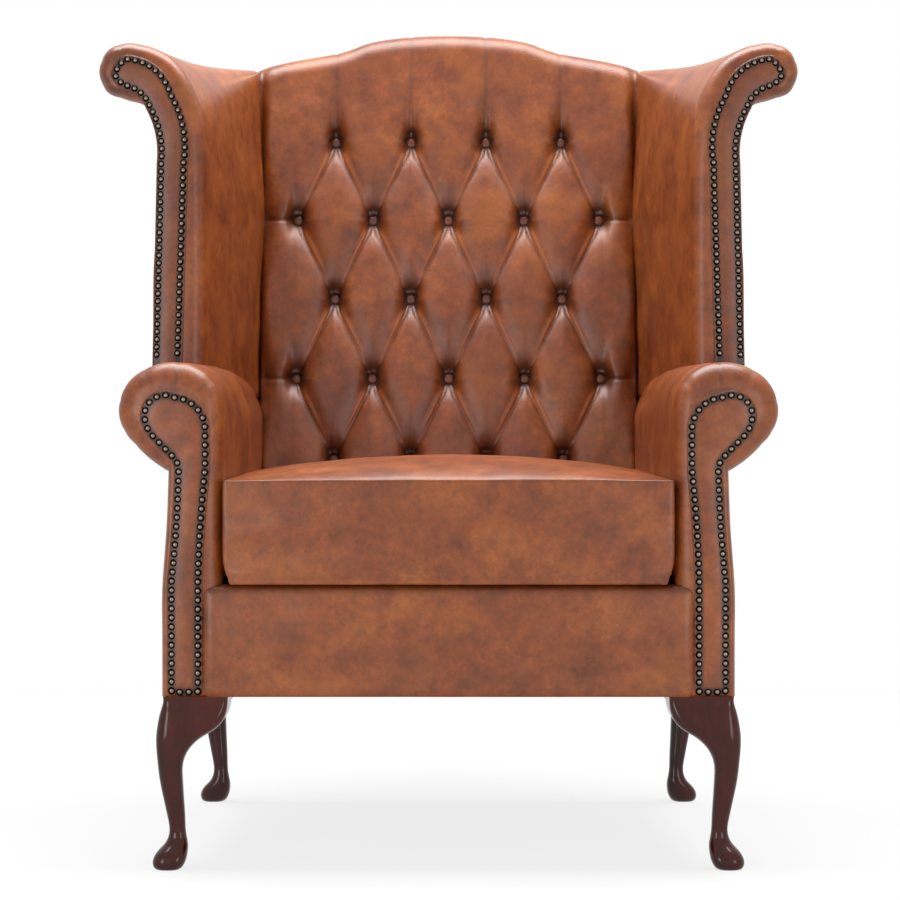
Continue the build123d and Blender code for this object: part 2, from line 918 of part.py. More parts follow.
wing_post_near = wing_front_depth + wing_edge_round
wing_post = block(
    (wing_post_x, wing_post_near, arm_rail_top),
    (wing_post_x + wing_post_width, wing_post_near + post_depth, wing_post_top),
)
finish_pair(wing_post, "wing_post")

with BuildPart() as wing_rail:
    ends = [
        (wing_post_near, wing_post_x),
        (back_depth(wing_post_top) + post_near, wing_rail_rear_x),
    ]
    for depth, x in ends:
        with BuildSketch(front_plane(depth)):
            with BuildLine():
                far_x = x + wing_post_width
                top = wing_post_top + wing_rail_height
                Polyline((x, wing_post_top), (far_x, wing_post_top), (far_x, top), (x, top), close=True)
            make_face()
    loft(ruled=True)
finish_pair(wing_rail.part, "wing_rail")

# Springs on their clips, the padded deck over them, the straps of the back and the cloth underneath

spring_z = rail_top + clip_thickness + spring_wire_radius
spring_low = rail_inset + (border_depth - rail_inset) / 2
spring_high = rear_rail_near + rail_thickness / 2
spring_radius = (spring_high - spring_low) / (2 * spring_bends)
spring_places = [(index - (spring_count - 1) / 2) * spring_pitch for index in range(spring_count)]

with BuildPart() as spring:
    with BuildLine(Plane.XY.offset(spring_z)) as zigzag:
        side = 1
        for bend in range(spring_bends + 1):
            y = depth_y(spring_low + bend * 2 * spring_radius)
            Line((-side * spring_half_width, y), (side * spring_half_width, y))
            if bend < spring_bends:
                center = (side * spring_half_width, y + spring_radius)
                CenterArc(center, spring_radius, -90, side * 180)
            side = -side
    start = (-spring_half_width, depth_y(spring_low), spring_z)
    with BuildSketch(Plane(origin=start, x_dir=(0, 1, 0), z_dir=(1, 0, 0))):
        Circle(spring_wire_radius)
    sweep()

with BuildPart() as seat_springs:
    with Locations(*[(x, 0, 0) for x in spring_places]):
        add(spring.part)
finish(seat_springs.part, "seat_springs")

with BuildPart() as spring_clips:
    for depth in (spring_low, spring_high):
        with Locations(*[(x, depth_y(depth), rail_top) for x in spring_places]):
            Box(clip_width, clip_length, clip_thickness, align=(Align.CENTER, Align.CENTER, Align.MIN))
finish(spring_clips.part, "spring_clips")

deck_bottom = spring_z + spring_wire_radius
deck_far = base_depth - leather - post_inset - post_depth
with BuildPart() as seat_deck:
    with BuildSketch(Plane.XY.offset(deck_bottom)):
        with BuildLine():
            share = border_depth / seat_back_depth
            near_half = seat_half_front + share * (seat_half_back - seat_half_front) - clearance
            far_half = seat_half_back - clearance
            near = depth_y(border_depth)
            bend = depth_y(seat_back_depth)
            far = depth_y(deck_far)
            Polyline(
                (-near_half, near),
                (near_half, near),
                (far_half, bend),
                (far_half, far),
                (-far_half, far),
                (-far_half, bend),
                close=True,
            )
        make_face()
    extrude(amount=deck_top - deck_bottom)
finish(seat_deck.part, "seat_deck")

strap_near = back_rail_near - strap_thickness
with BuildPart() as back_webbing:
    for index in range(strap_count):
        x = (index - (strap_count - 1) / 2) * strap_pitch
        low = lower_rail_z
        high = crest_rail_z + back_rail_height
        add(raked_plate(low, high, strap_near, back_rail_near, x - strap_width / 2, x + strap_width / 2))
finish(back_webbing.part, "back_webbing")

with BuildPart() as dust_cover:
    with BuildSketch(Plane.XY.offset(base_bottom - dust_thickness)):
        with BuildLine():
            right = [
                (dust_half, rail_inset),
                (dust_half, dust_wing_near),
                (side_rail_outer, dust_wing_near),
                (side_rail_outer, dust_wing_far),
                (dust_half, dust_wing_far),
                (dust_half, rear_rail_far),
            ]
            left = [(-x, depth) for x, depth in reversed(right)]
            Polyline(*[(x, depth_y(depth)) for x, depth in right + left], close=True)
        make_face()
    extrude(amount=dust_thickness)
finish(dust_cover.part, "dust_cover")

# Front border

border_skin = cut_from(front_block(0.0), front_block(leather))
finish(border_skin, "front_rail_leather")
spring_slot = block(
    (-border_half, rail_inset, rail_top), (border_half, border_depth, deck_bottom)
)
finish(cut_from(front_block(leather), front_rail, spring_slot), "front_rail_padding")

# Buttoned back: leather over foam, and its buttons

back_inner = back_envelope(leather)
back_skin = cut_from(back_envelope(0.0), back_inner)
finish(back_skin, "inside_back_leather")
behind_foam = raked_plate(
    -cut_overrun, crest_rail_z + back_rail_height, strap_near, back_thickness, -overall_depth, overall_depth
)
finish(cut_from(back_inner, behind_foam), "back_foam")

with BuildPart() as button:
    with BuildSketch(Plane.XZ):
        with BuildLine():
            rim_low = stem_length
            rim_high = stem_length + button_rim
            Line((0, 0), (stem_radius, 0))
            Line((stem_radius, 0), (stem_radius, rim_low))
            Line((stem_radius, rim_low), (button_radius, rim_low))
            Line((button_radius, rim_low), (button_radius, rim_high))
            crown_x, crown_z = cap_middle(button_radius, button_dome - button_rim)
            crown = (crown_x, rim_high + crown_z)
            ThreePointArc((button_radius, rim_high), crown, (0, stem_length + button_dome))
            Line((0, stem_length + button_dome), (0, 0))
        make_face()
    revolve(axis=Axis.Z)

button_places = []
for row in range(row_count):
    columns = (-1.5, -0.5, 0.5, 1.5) if row % 2 == 0 else (-2, -1, 0, 1, 2)
    height = lowest_row + row * row_pitch
    button_places += [(column * button_pitch, along_rake(height)) for column in columns]

well_plane = raked_plane(rake_depth + well_depth - well_rise - clearance)
with BuildPart() as back_buttons:
    with Locations(*[well_plane.location * Location((x, v, 0)) for x, v in button_places]):
        add(button.part)
finish(back_buttons.part, "back_buttons")

# Nail heads and facings

with BuildPart() as nail_head:
    with BuildSketch(Plane.XY):
        with BuildLine():
            Line((0, 0), (0, -nail_height))
            shoulder_x, shoulder_y = cap_middle(nail_radius, nail_height)
            ThreePointArc((0, -nail_height), (shoulder_x, -shoulder_y), (nail_radius, 0))
            Line((nail_radius, 0), (0, 0))
        make_face()
    revolve(axis=Axis.Y)

arm_front = front_plane(0.0)
wing_front = front_plane(wing_front_depth)
arm_facing = facing(arm_nail_line(arm_front, facing_margin))
wing_facing_whole = facing(wing_nail_line(wing_front, facing_margin))
arm_nails = nails_along(arm_nail_line(arm_front, 0.0), arm_nail_pitch, base_bottom)
wing_nails = nails_along(wing_nail_line(wing_front, 0.0), wing_nail_pitch, wing_line_foot + nail_radius)
finish_pair(arm_nails, "arm_nails")
finish_pair(wing_nails, "wing_nails")

# Arms: leather inside and over the roll, a panel outside, foam round the frame

arm_whole = arm_envelope(0.0)
arm_inner = arm_envelope(leather)
arm_panel_zone = block(
    (arm_rail_x, arm_edge_round, -cut_overrun),
    (base_half_front + cut_overrun, base_depth + cut_overrun, notch_z),
)
border_block = front_block(0.0)
seat_well = block((0, border_depth, -cut_overrun), (side_rail_x, base_depth, rail_top))
back_side = block(
    (0, seat_back_depth, deck_top), (seat_half_back, base_depth + cut_overrun, wing_top)
)
back_frame = (back_post, back_rails["lower"], back_rails["middle"], back_rails["crest"])
arm_outside = (border_block, arm_facing, seat_well, wing_post, back_post, back_rails["lower"])
arm_skin = cut_from(arm_whole, arm_inner, back_side, *arm_outside)
finish_pair(arm_facing, "arm_facing")
finish_pair(cut_from(arm_skin, arm_panel_zone), "inside_arm_leather")
finish_pair(common_to(arm_skin, arm_panel_zone), "outside_arm_leather")
arm_frame = (front_rail, rear_rail, side_rail_whole, arm_post, arm_rail)
arm_foam = cut_from(arm_inner, *arm_outside, *arm_frame)
finish_pair(arm_foam, "arm_foam")

# Wings: the same, standing on the arms

wing_whole = wing_envelope(0.0)
wing_inner = wing_envelope(leather)
with BuildPart() as wing_panel_zone:
    with BuildSketch(Plane.XY.offset(wing_foot - cut_overrun)):
        with BuildLine():
            near = depth_y(wing_front_depth + wing_edge_round)
            far = depth_y(overall_depth + cut_overrun)
            Polyline(
                (wing_post_x, near),
                (wing_tip_x + cut_overrun, near),
                (wing_tip_x + cut_overrun, far),
                (wing_rail_rear_x, far),
                close=True,
            )
        make_face()
    extrude(amount=wing_post_top - wing_foot + cut_overrun)
wing_facing = cut_from(wing_facing_whole, arm_whole)
wing_skin = cut_from(wing_whole, wing_inner, arm_whole, wing_facing_whole, *back_frame)
finish_pair(wing_facing, "wing_facing")
finish_pair(cut_from(wing_skin, wing_panel_zone.part), "inside_wing_leather")
finish_pair(common_to(wing_skin, wing_panel_zone.part), "outside_wing_leather")
wing_frame = (wing_post, wing_rail.part)
wing_foam = cut_from(wing_inner, arm_whole, wing_facing_whole, *wing_frame, *back_frame)
finish_pair(wing_foam, "wing_foam")

# Outside back: one panel over the rear, upright below and raked above

panel_high = crest_top + cut_overrun
panel_points = [
    (base_depth - leather, base_bottom),
    (base_depth - leather, kink_z),
    (back_depth(panel_high) + back_thickness - leather, panel_high),
    (back_depth(panel_high) + back_thickness, panel_high),
    (base_depth, kink_z),
    (base_depth, base_bottom),
]
with BuildPart() as back_panel_outline:
    crest, shoulder = crest_runs(0.0)
    head = wing_top - wing_rear_head
    outer = back_half_top + wing_rear_thickness
    slope = outer - wing_rear_head / 2
    sides = [
        ((base_half_rear, base_bottom),),
        ((outer, head),),
        ((slope, wing_top),),
    ]
    left_sides = [((-slope, wing_top),), ((-outer, head),)]
    crest_upright = [tuple((x, rake_level + v * rake_cosine) for x, v in run) for run in crest]
    plane = front_plane(overall_depth + cut_overrun)
    extrude(
        closed_outline(plane, (-base_half_rear, base_bottom), sides + crest_upright + left_sides),
        amount=overall_depth,
    )
with BuildPart() as outside_back_leather:
    add(side_plate(panel_points, -overall_depth, overall_depth))
    add(back_panel_outline.part, mode=Mode.INTERSECT)
finish(outside_back_leather.part, "outside_back_leather")

# Loose seat cushion: foam core, leather cover and the zip in its rear boxing

cushion_core = cushion_envelope(leather)
cushion_skin = cut_from(cushion_envelope(0.0), cushion_core)
zip_middle = deck_top + cushion_thickness / 2
zip_depth = back_depth(zip_middle) - clearance
zip_zone = block(
    (-zip_length / 2, zip_depth - cut_overrun, zip_middle - zip_width / 2),
    (zip_length / 2, zip_depth + cut_overrun, zip_middle + zip_width / 2),
)
finish(cushion_core, "cushion_core")
finish(cut_from(cushion_skin, zip_zone), "seat_cushion_cover")
finish(common_to(cushion_skin, zip_zone), "cushion_zip")
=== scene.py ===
import math

import bpy
import numpy as np
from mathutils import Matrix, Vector, noise
from mathutils.geometry import delaunay_2d_cdt


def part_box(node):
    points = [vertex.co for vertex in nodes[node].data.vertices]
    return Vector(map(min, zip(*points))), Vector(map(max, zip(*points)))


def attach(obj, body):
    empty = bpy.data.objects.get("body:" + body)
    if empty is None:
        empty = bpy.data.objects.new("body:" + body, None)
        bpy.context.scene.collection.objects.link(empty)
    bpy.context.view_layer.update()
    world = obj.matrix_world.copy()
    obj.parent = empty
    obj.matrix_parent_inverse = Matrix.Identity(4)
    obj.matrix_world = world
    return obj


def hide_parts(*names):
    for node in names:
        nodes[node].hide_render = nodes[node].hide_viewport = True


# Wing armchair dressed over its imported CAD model. Sizes below are in millimetres; depths run
# back from the chair's front face at FRONT_Y.
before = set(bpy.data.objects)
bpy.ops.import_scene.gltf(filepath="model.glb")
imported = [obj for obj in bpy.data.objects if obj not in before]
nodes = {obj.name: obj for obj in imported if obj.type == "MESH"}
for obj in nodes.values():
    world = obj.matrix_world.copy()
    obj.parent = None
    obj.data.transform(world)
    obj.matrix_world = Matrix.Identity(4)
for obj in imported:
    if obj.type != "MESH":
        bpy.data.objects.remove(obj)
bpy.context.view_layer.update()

MM = 0.001
FRONT_Y = -383.0
BASE_Z = 216.0  # underside of the upholstery
DECK_Z = 356.0  # top of the seat platform
ARM_TOP = 635.0
WING_TOP = 1063.5
BASE_DEPTH = 630.0  # back of the base
RAKE_LEVEL = 500.0  # level of the lowest buttons, where RAKE_DEPTH is measured
RAKE_DEPTH = 535.0
RAKE = math.radians(12.0)
SLOPE = math.tan(RAKE)
BACK_THICK = 108.0
KINK_Z = RAKE_LEVEL + (BASE_DEPTH - RAKE_DEPTH - BACK_THICK) / SLOPE  # foot of the raked back
PITCH = 111.0  # from button to button across
ROW = 117.0  # from row to row
ROWS = 5
TOP_ROW = RAKE_LEVEL + (ROWS - 1) * ROW
WELL = 27.0  # depth of a button's seat behind the pillows' front
VALLEY = 10.0  # depth of the folds between buttons
SIDE_VALLEY = 17.0  # depth of the back's edge beside the wings
HALF_PILLOW = 50.1  # from a pillow's middle to its fold, square to the fold
BACK_HALF = 275.0  # half width between the arms at the back
ROLL = (345.0, 575.0)  # place across and level of an arm's roll
SCROLL = (428.0, 1027.0)  # the same for a wing's scroll
WING_NEAR = 250.0  # depth of the wing's front edge
NAIL_MARGIN = 6.5  # leather outside the nail line
HEAD = 1078.0  # level of the wing's head behind the crest


def back_depth(z):
    """Depth of the pillows' front at a height."""
    return RAKE_DEPTH + (z - RAKE_LEVEL) * SLOPE


def back_half(z):
    """Half width of the inside back at a height."""
    return BACK_HALF + np.clip((z - 650.0) / (WING_TOP - 650.0), 0.0, 1.2) * 9.0


def smooth(x, low, high):
    """Smooth step from 0 at low to 1 at high."""
    t = np.clip((x - low) / (high - low), 0.0, 1.0)
    return t * t * (3 - 2 * t)


def ripple(points, scale, seed):
    """Soft noise from -1 to 1 at each point; scale is the size of its lumps."""
    shift = Vector((seed * 7.3, seed * 3.1, seed * 5.7))
    return np.array([noise.noise(Vector(p) / scale + shift) for p in points.tolist()])


# Mesh builders

def to_object(name, points, faces, material, body, shade=None):
    """Mesh object in metres from points in millimetres, riding on a body.

    Its last argument paints shade into its leather from 0 to 1, and below 0 paints it paler, for
    rubbed wear and a painted highlight.
    """
    mesh = bpy.data.meshes.new(name)
    mesh.from_pydata((np.asarray(points) * MM).tolist(), [], [list(map(int, f)) for f in faces])
    mesh.polygons.foreach_set("use_smooth", [True] * len(mesh.polygons))
    if shade is not None:
        shades = mesh.attributes.new("shade", "FLOAT", "POINT")
        shades.data.foreach_set("value", np.asarray(shade, dtype=np.float32))
    mesh.materials.append(material)
    mesh.update()
    thing = bpy.data.objects.new(name, mesh)
    bpy.context.scene.collection.objects.link(thing)
    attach(thing, body)
    return thing


def spread(length, step, edge):
    """Places from 0 to length about a step apart, closer within edge of each end."""
    near = edge * np.array([0.0, 0.22, 0.45, 0.7, 1.0])
    middle = np.linspace(edge, length - edge, max(2, int(round((length - 2 * edge) / step)) + 1))
    return np.concatenate([near[:-1], middle, length - near[:-1][::-1]])


def lattice(size, radius, steps):
    """Closed skin of a box with rounded edges: points, outward normals and faces."""
    axes = [spread(size[i], steps[i], radius) for i in range(3)]
    counts = [len(a) for a in axes]
    grid = np.meshgrid(*axes, indexing="ij")
    inside = np.zeros(counts, dtype=bool)
    inside[1:-1, 1:-1, 1:-1] = True
    number = np.full(counts, -1)
    number[~inside] = np.arange((~inside).sum())
    cube = np.stack([g[~inside] for g in grid], axis=1)
    core = np.clip(cube, radius, np.array(size) - radius)
    normal = cube - core
    normal /= np.linalg.norm(normal, axis=1)[:, None]
    points = core + radius * normal
    faces = []
    for axis in range(3):
        for end in (0, -1):
            sheet = np.take(number, end, axis=axis)
            quad = [sheet[:-1, :-1], sheet[1:, :-1], sheet[1:, 1:], sheet[:-1, 1:]]
            quad = np.stack([q.ravel() for q in quad], axis=1)
            if (end == 0) == (axis != 1):
                quad = quad[:, ::-1]
            faces.append(quad)
    return points, normal, np.concatenate(faces)


def arc(first, middle, last, count):
    """Points along the circle arc through three points, without the first."""
    ax, ay = first
    bx, by = middle
    cx, cy = last
    d = 2 * (ax * (by - cy) + bx * (cy - ay) + cx * (ay - by))
    a2, b2, c2 = ax * ax + ay * ay, bx * bx + by * by, cx * cx + cy * cy
    ux = (a2 * (by - cy) + b2 * (cy - ay) + c2 * (ay - by)) / d
    uy = (a2 * (cx - bx) + b2 * (ax - cx) + c2 * (bx - ax)) / d
    radius = math.hypot(ax - ux, ay - uy)
    start = math.atan2(ay - uy, ax - ux)
    through = (math.atan2(by - uy, bx - ux) - start) % (2 * math.pi)
    sweep = (math.atan2(cy - uy, cx - ux) - start) % (2 * math.pi)
    if through > sweep:
        sweep -= 2 * math.pi
    angles = start + sweep * np.arange(1, count + 1) / count
    return [(ux + radius * math.cos(a), uy + radius * math.sin(a)) for a in angles]


def chain(start, runs, step=2.0):
    """Closed line through runs, each an end or a middle and an end, evenly resampled."""
    points = [start]
    for run in runs:
        if len(run) == 1:
            points.append(run[0])
        else:
            points += arc(points[-1], run[0], run[1], 24)
    return resample(np.array(points + [start]), step)


def resample(line, step, count=None):
    """Points evenly spaced along a line."""
    lengths = np.concatenate([[0.0], np.cumsum(np.linalg.norm(np.diff(line, axis=0), axis=1))])
    if count is None:
        count = max(3, int(round(lengths[-1] / step)))
    places = np.linspace(0.0, lengths[-1], count + 1)
    return np.stack([np.interp(places, lengths, line[:, i]) for i in range(line.shape[1])], axis=1)


def curve(p0, p1, p2, p3, t):
    """Smooth curve from p1 to p2 at t, with p0 before them and p3 after."""
    square = 2 * p0 - 5 * p1 + 4 * p2 - p3
    cube = 3 * p1 - p0 - 3 * p2 + p3
    return 0.5 * (2 * p1 + (p2 - p0) * t + square * t * t + cube * t**3)


def spline(points, count):
    """Smooth line through points, with count points evenly spaced along it."""
    points = np.asarray(points, dtype=float)
    ends = np.vstack([2 * points[0] - points[1], points, 2 * points[-1] - points[-2]])
    line = []
    for i in range(1, len(ends) - 2):
        line += [curve(*ends[i - 1 : i + 3], t) for t in np.linspace(0, 1, 12, endpoint=False)]
    line.append(points[-1])
    return resample(np.array(line), 1.0, count - 1)


def rings(sections):
    """Points and faces of a closed skin over sections with equal counts, with flat ends."""
    sections = np.asarray(sections, dtype=float)
    rows, count = sections.shape[:2]
    points = sections.reshape(-1, 3)
    index = np.arange(rows * count).reshape(rows, count)
    after = np.roll(index, -1, axis=1)
    quads = np.stack(
        [index[:-1].ravel(), after[:-1].ravel(), after[1:].ravel(), index[1:].ravel()], axis=1
    )
    faces = [list(q) for q in quads] + [list(index[0][::-1]), list(index[-1])]
    return points, faces


def mirrored(points, faces):
    """The same piece on the left side."""
    flipped = np.asarray(points) * np.array([-1.0, 1.0, 1.0])
    return flipped, [list(f)[::-1] for f in faces]


def both_sides(name, points, faces, material, shade, replaced):
    """A right-hand piece and its mirror image, each standing for its CAD nodes."""
    for side, (p, f) in (("right", (points, faces)), ("left", mirrored(points, faces))):
        piece = to_object(f"{name}_{side}", p, f, material, "frame", shade)
        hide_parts(*[f"{node}_{side}" for node in replaced])


def round_scroll(points, centre):
    """Angle in degrees and outward direction of points round a scroll's centre."""
    over_x, over_z = points[:, 0] - centre[0], points[:, 2] - centre[1]
    outward = np.stack([over_x, np.zeros(len(points)), over_z], axis=1)
    outward /= np.maximum(np.linalg.norm(outward, axis=1), 1.0)[:, None]
    return np.degrees(np.arctan2(over_z, over_x)), outward


def pleat_profile(angle, pleats, width):
    """Sum of the bell curves of pleats, each an angle and a strength."""
    return sum(strength * np.exp(-(((angle - place) / width) ** 2)) for place, strength in pleats)


# Materials

def rgb(text):
    """Linear colour of a hex string."""
    parts = [int(text[i : i + 2], 16) / 255 for i in (0, 2, 4)]
    linear = [p / 12.92 if p <= 0.04045 else ((p + 0.055) / 1.055) ** 2.4 for p in parts]
    return (*linear, 1.0)


class Tree:
    """Short way to write a material's nodes."""

    def __init__(self, name):
        self.material = bpy.data.materials.new(name)
        self.material.use_nodes = True
        self.tree = self.material.node_tree
        self.shader = self.tree.nodes["Principled BSDF"]
        self.place = self.add("ShaderNodeTexCoord").outputs["Object"]

    def add(self, kind, settings=None, **links):
        node = self.tree.nodes.new(kind)
        for key, value in (settings or {}).items():
            setattr(node, key, value)
        for key, value in links.items():
            place = int(key[2:]) if key.startswith("in") else key.replace("_", " ")
            self.feed(node.inputs[place], value)
        return node

    def feed(self, socket, value):
        if isinstance(value, bpy.types.NodeSocket):
            self.tree.links.new(value, socket)
        else:
            socket.default_value = value

    def noise(self, scale, detail=4.0, rough=0.55, place=None):
        node = self.add("ShaderNodeTexNoise", None, Vector=place or self.place, Scale=scale)
        node.inputs["Detail"].default_value = detail
        node.inputs["Roughness"].default_value = rough
        return node.outputs["Fac"]

    def stretched(self, scales):
        node = self.add("ShaderNodeMapping", None, Vector=self.place, Scale=scales)
        return node.outputs["Vector"]

    def cells(self, scale, feature="F1"):
        settings = {"feature": feature}
        node = self.add("ShaderNodeTexVoronoi", settings, Vector=self.place, Scale=scale)
        return node.outputs["Distance"]

    def ramp(self, fac, stops):
        node = self.add("ShaderNodeValToRGB", None, Fac=fac)
        elements = node.color_ramp.elements
        while len(elements) < len(stops):
            elements.new(0.5)
        for element, (place, colour) in zip(elements, stops):
            element.position = place
            element.color = colour
        return node.outputs["Color"]

    def mix(self, fac, a, b, blend="MIX"):
        node = self.add("ShaderNodeMix", {"data_type": "RGBA", "blend_type": blend})
        self.feed(node.inputs[0], fac)
        self.feed(node.inputs[6], a)
        self.feed(node.inputs[7], b)
        return node.outputs[2]

    def math(self, operation, a, b=0.0, c=0.0):
        node = self.add("ShaderNodeMath", {"operation": operation}, in0=a, in1=b, in2=c)
        return node.outputs[0]

    def span(self, fac, low, high):
        node = self.add("ShaderNodeMapRange", None, Value=fac)
        node.inputs["To Min"].default_value = low
        node.inputs["To Max"].default_value = high
        return node.outputs["Result"]

    def attribute(self, name):
        return self.add("ShaderNodeAttribute", {"attribute_name": name}).outputs["Fac"]

    def bump(self, height, strength, distance, normal=None):
        links = {"Height": height, "Strength": strength, "Distance": distance}
        if normal is not None:
            links["Normal"] = normal
        return self.add("ShaderNodeBump", None, **links).outputs["Normal"]

    def set(self, **values):
        for key, value in values.items():
            self.feed(self.shader.inputs[key.replace("_", " ")], value)
        return self.material


def grey(value):
    return (value, value, value, 1.0)


def leather(name, dark, middle, light, deep, coat=0.08):
    """Aniline leather: cloudy colour, pores and grain, with painted shade in its folds towards
    deep, and paler on fold ridges for rubbed wear and a painted highlight.
    """
    t = Tree(name)
    cloud = t.noise(11.0, 8.0, 0.7)
    colour = t.ramp(cloud, [(0.28, rgb(dark)), (0.5, rgb(middle)), (0.72, rgb(light))])
    speck = t.noise(46.0, 7.0, 0.72)
    colour = t.mix(1.0, colour, t.span(speck, 0.2, 1.78), "MULTIPLY")
    fleck = t.noise(170.0, 5.0, 0.7)
    colour = t.mix(1.0, colour, t.span(fleck, 0.55, 1.42), "MULTIPLY")
    wisp = t.noise(15.0, 4.0, 0.55, t.stretched((0.8, 1.0, 1.0)))
    colour = t.mix(t.ramp(wisp, [(0.5, grey(0.0)), (0.7, grey(0.5))]), colour, rgb(light))
    stain = t.noise(19.0, 6.0, 0.65)
    colour = t.mix(t.ramp(stain, [(0.55, grey(0.0)), (0.74, grey(0.4))]), colour, rgb(dark))
    shade = t.attribute("shade")
    # Painted shade: towards the deep colour where the mesh's shade value is above 0.
    colour = t.mix(t.math("MULTIPLY", shade, 0.85), colour, rgb(deep))
    # Below 0 the value paints the leather paler: rubbed wear and a painted highlight.
    colour = t.mix(t.math("MULTIPLY", shade, -0.68), colour, rgb("b87040"))
    grain = t.cells(620.0)
    crack = t.cells(240.0, "DISTANCE_TO_EDGE")
    fine = t.noise(900.0, 3.0, 0.6)
    height = t.math("ADD", t.math("MULTIPLY", grain, 0.6), t.math("MULTIPLY", fine, 0.35))
    height = t.math("ADD", height, t.math("MULTIPLY", t.math("MINIMUM", crack, 0.12), 1.6))
    blotch = t.math("ADD", t.math("MULTIPLY", cloud, 0.5), t.math("MULTIPLY", speck, 0.5))
    rough = t.span(blotch, 0.3, 0.5)
    folds = t.bump(t.noise(26.0, 3.0, 0.5), 0.12, 0.004)
    return t.set(
        Base_Color=colour,
        Roughness=rough,
        Coat_Weight=coat,
        Coat_Roughness=0.3,
        Specular_IOR_Level=0.45,
        Normal=t.bump(height, 0.22, 0.0006, folds),
    )


def wood(name, dark, light, gloss, shine, along):
    """Polished or sawn wood with grain running along its length."""
    t = Tree(name)
    stretch = t.stretched(along)
    figure = t.noise(9.0, 5.0, 0.6, stretch)
    streak = t.noise(34.0, 6.0, 0.7, stretch)
    both = t.math("ADD", t.math("MULTIPLY", figure, 0.6), t.math("MULTIPLY", streak, 0.4))
    colour = t.ramp(both, [(0.34, rgb(dark)), (0.66, rgb(light))])
    return t.set(
        Base_Color=colour,
        Roughness=t.span(streak, gloss - 0.05, gloss + 0.1),
        Specular_IOR_Level=shine,
        Normal=t.bump(streak, 0.08, 0.0006),
    )


def brass(name):
    """Antique brass: pale on the crown that faces front, for rubbed wear and a painted highlight;
    dark patina in the hollows and round the rim.
    """
    t = Tree(name)
    patina = t.noise(420.0, 4.0, 0.65)
    normal = t.add("ShaderNodeNewGeometry").outputs["Normal"]
    axis = t.add("ShaderNodeSeparateXYZ", None, Vector=normal)
    crown = t.math("MULTIPLY", axis.outputs["Y"], -1.0)
    # Pale crown facing front: rubbed wear and a painted highlight.
    worn_and_highlight = t.ramp(crown, [(0.86, grey(0.0)), (0.985, grey(1.0))])
    colour = t.mix(worn_and_highlight, rgb("1a120b"), t.mix(patina, rgb("6f5f52"), rgb("a5968a")))
    return t.set(
        Base_Color=colour,
        Metallic=1.0,
        Roughness=t.span(patina, 0.25, 0.45),
        Normal=t.bump(patina, 0.1, 0.0003),
    )


def cloth(name, dark, light, scale, rough=0.85):
    """Woven cloth."""
    t = Tree(name)
    bands = []
    for way in "XY":
        settings = {"wave_type": "BANDS", "bands_direction": way}
        wave = t.add("ShaderNodeTexWave", settings, Vector=t.place, Scale=scale)
        bands.append(wave.outputs["Fac"])
    weave = t.math("MULTIPLY", *bands)
    tone = t.mix(t.noise(24.0, 4.0), rgb(dark), rgb(light))
    return t.set(
        Base_Color=t.mix(t.math("MULTIPLY", weave, 0.5), rgb(dark), tone),
        Roughness=rough,
        Sheen_Weight=0.2,
        Normal=t.bump(weave, 0.35, 0.0004),
    )


def steel(name, dark, light):
    """Plated steel with fine scratches."""
    t = Tree(name)
    marks = t.noise(160.0, 5.0, 0.7, t.stretched((1.0, 6.0, 1.0)))
    return t.set(
        Base_Color=t.mix(marks, rgb(dark), rgb(light)),
        Metallic=1.0,
        Roughness=t.span(marks, 0.28, 0.5),
        Normal=t.bump(marks, 0.05, 0.0003),
    )


# The last colour of each leather is the colour of its painted shade.
hide = leather("antique_leather", "5e290d", "7d3c14", "96521f", "240d05")
hide_button = leather("button_leather", "431c0c", "5e2a12", "7c3f1e", "160702", 0.1)
mahogany = wood("mahogany", "0e0201", "4e1408", 0.15, 0.3, (1.0, 1.0, 0.16))
beech = wood("frame_wood", "a98255", "cfae80", 0.6, 0.3, (0.15, 1.0, 1.0))
bronze = brass("antique_brass")
black_cloth = cloth("black_cloth", "0b0b0b", "1c1b1a", 260.0)
platform_cloth = cloth("platform_cloth", "3c2415", "5b3a24", 320.0)
jute = cloth("webbing", "6d5836", "9c8355", 200.0)
wire = steel("spring_steel", "4c4c50", "84848a")
bolt = steel("bolt_steel", "7c7c80", "b4b4b8")
zip_black = cloth("zip_tape", "1a0f08", "36200f", 900.0, 0.7)

for cad_name, cad_object in nodes.items():
    finish = beech
    if "leg_bolts" in cad_name:
        finish = bolt
    elif "_leg_" in cad_name:
        finish = mahogany
    elif "nails" in cad_name:
        finish = bronze
    elif "spring" in cad_name:
        finish = wire
    elif cad_name == "back_webbing":
        finish = jute
    elif cad_name == "dust_cover":
        finish = black_cloth
    elif cad_name == "cushion_core" or "foam" in cad_name or "padding" in cad_name:
        finish = platform_cloth
    elif "leather" in cad_name or "facing" in cad_name:
        finish = hide
    for cad_slot in cad_object.material_slots:
        cad_slot.material = finish


# Buttoned back

# Place across and height of the crest's line, from the middle outwards
CREST = np.array(
    [
        (0, 1131), (36, 1130.5), (72, 1128), (108, 1122.5), (126, 1117.5), (144, 1110.5),
        (162, 1105), (198, 1098), (234, 1091.5), (269, 1083), (290, 1075.5),
    ]
)


def crest(x):
    """Height of the crest over a place across the back."""
    line = spline(CREST, 120)
    return np.interp(np.abs(x), line[:, 0], line[:, 1])


BUTTONS = []
for row in range(ROWS):
    for column in (-1.5, -0.5, 0.5, 1.5) if row % 2 == 0 else (-2, -1, 0, 1, 2):
        BUTTONS.append((column * PITCH, RAKE_LEVEL + row * ROW))


def level_near(z):
    """Nearest row that carries buttons out at the sides."""
    rows = (z - RAKE_LEVEL) / ROW
    return np.clip(2 * np.round((rows - 1) / 2) + 1, 1, ROWS - 2)


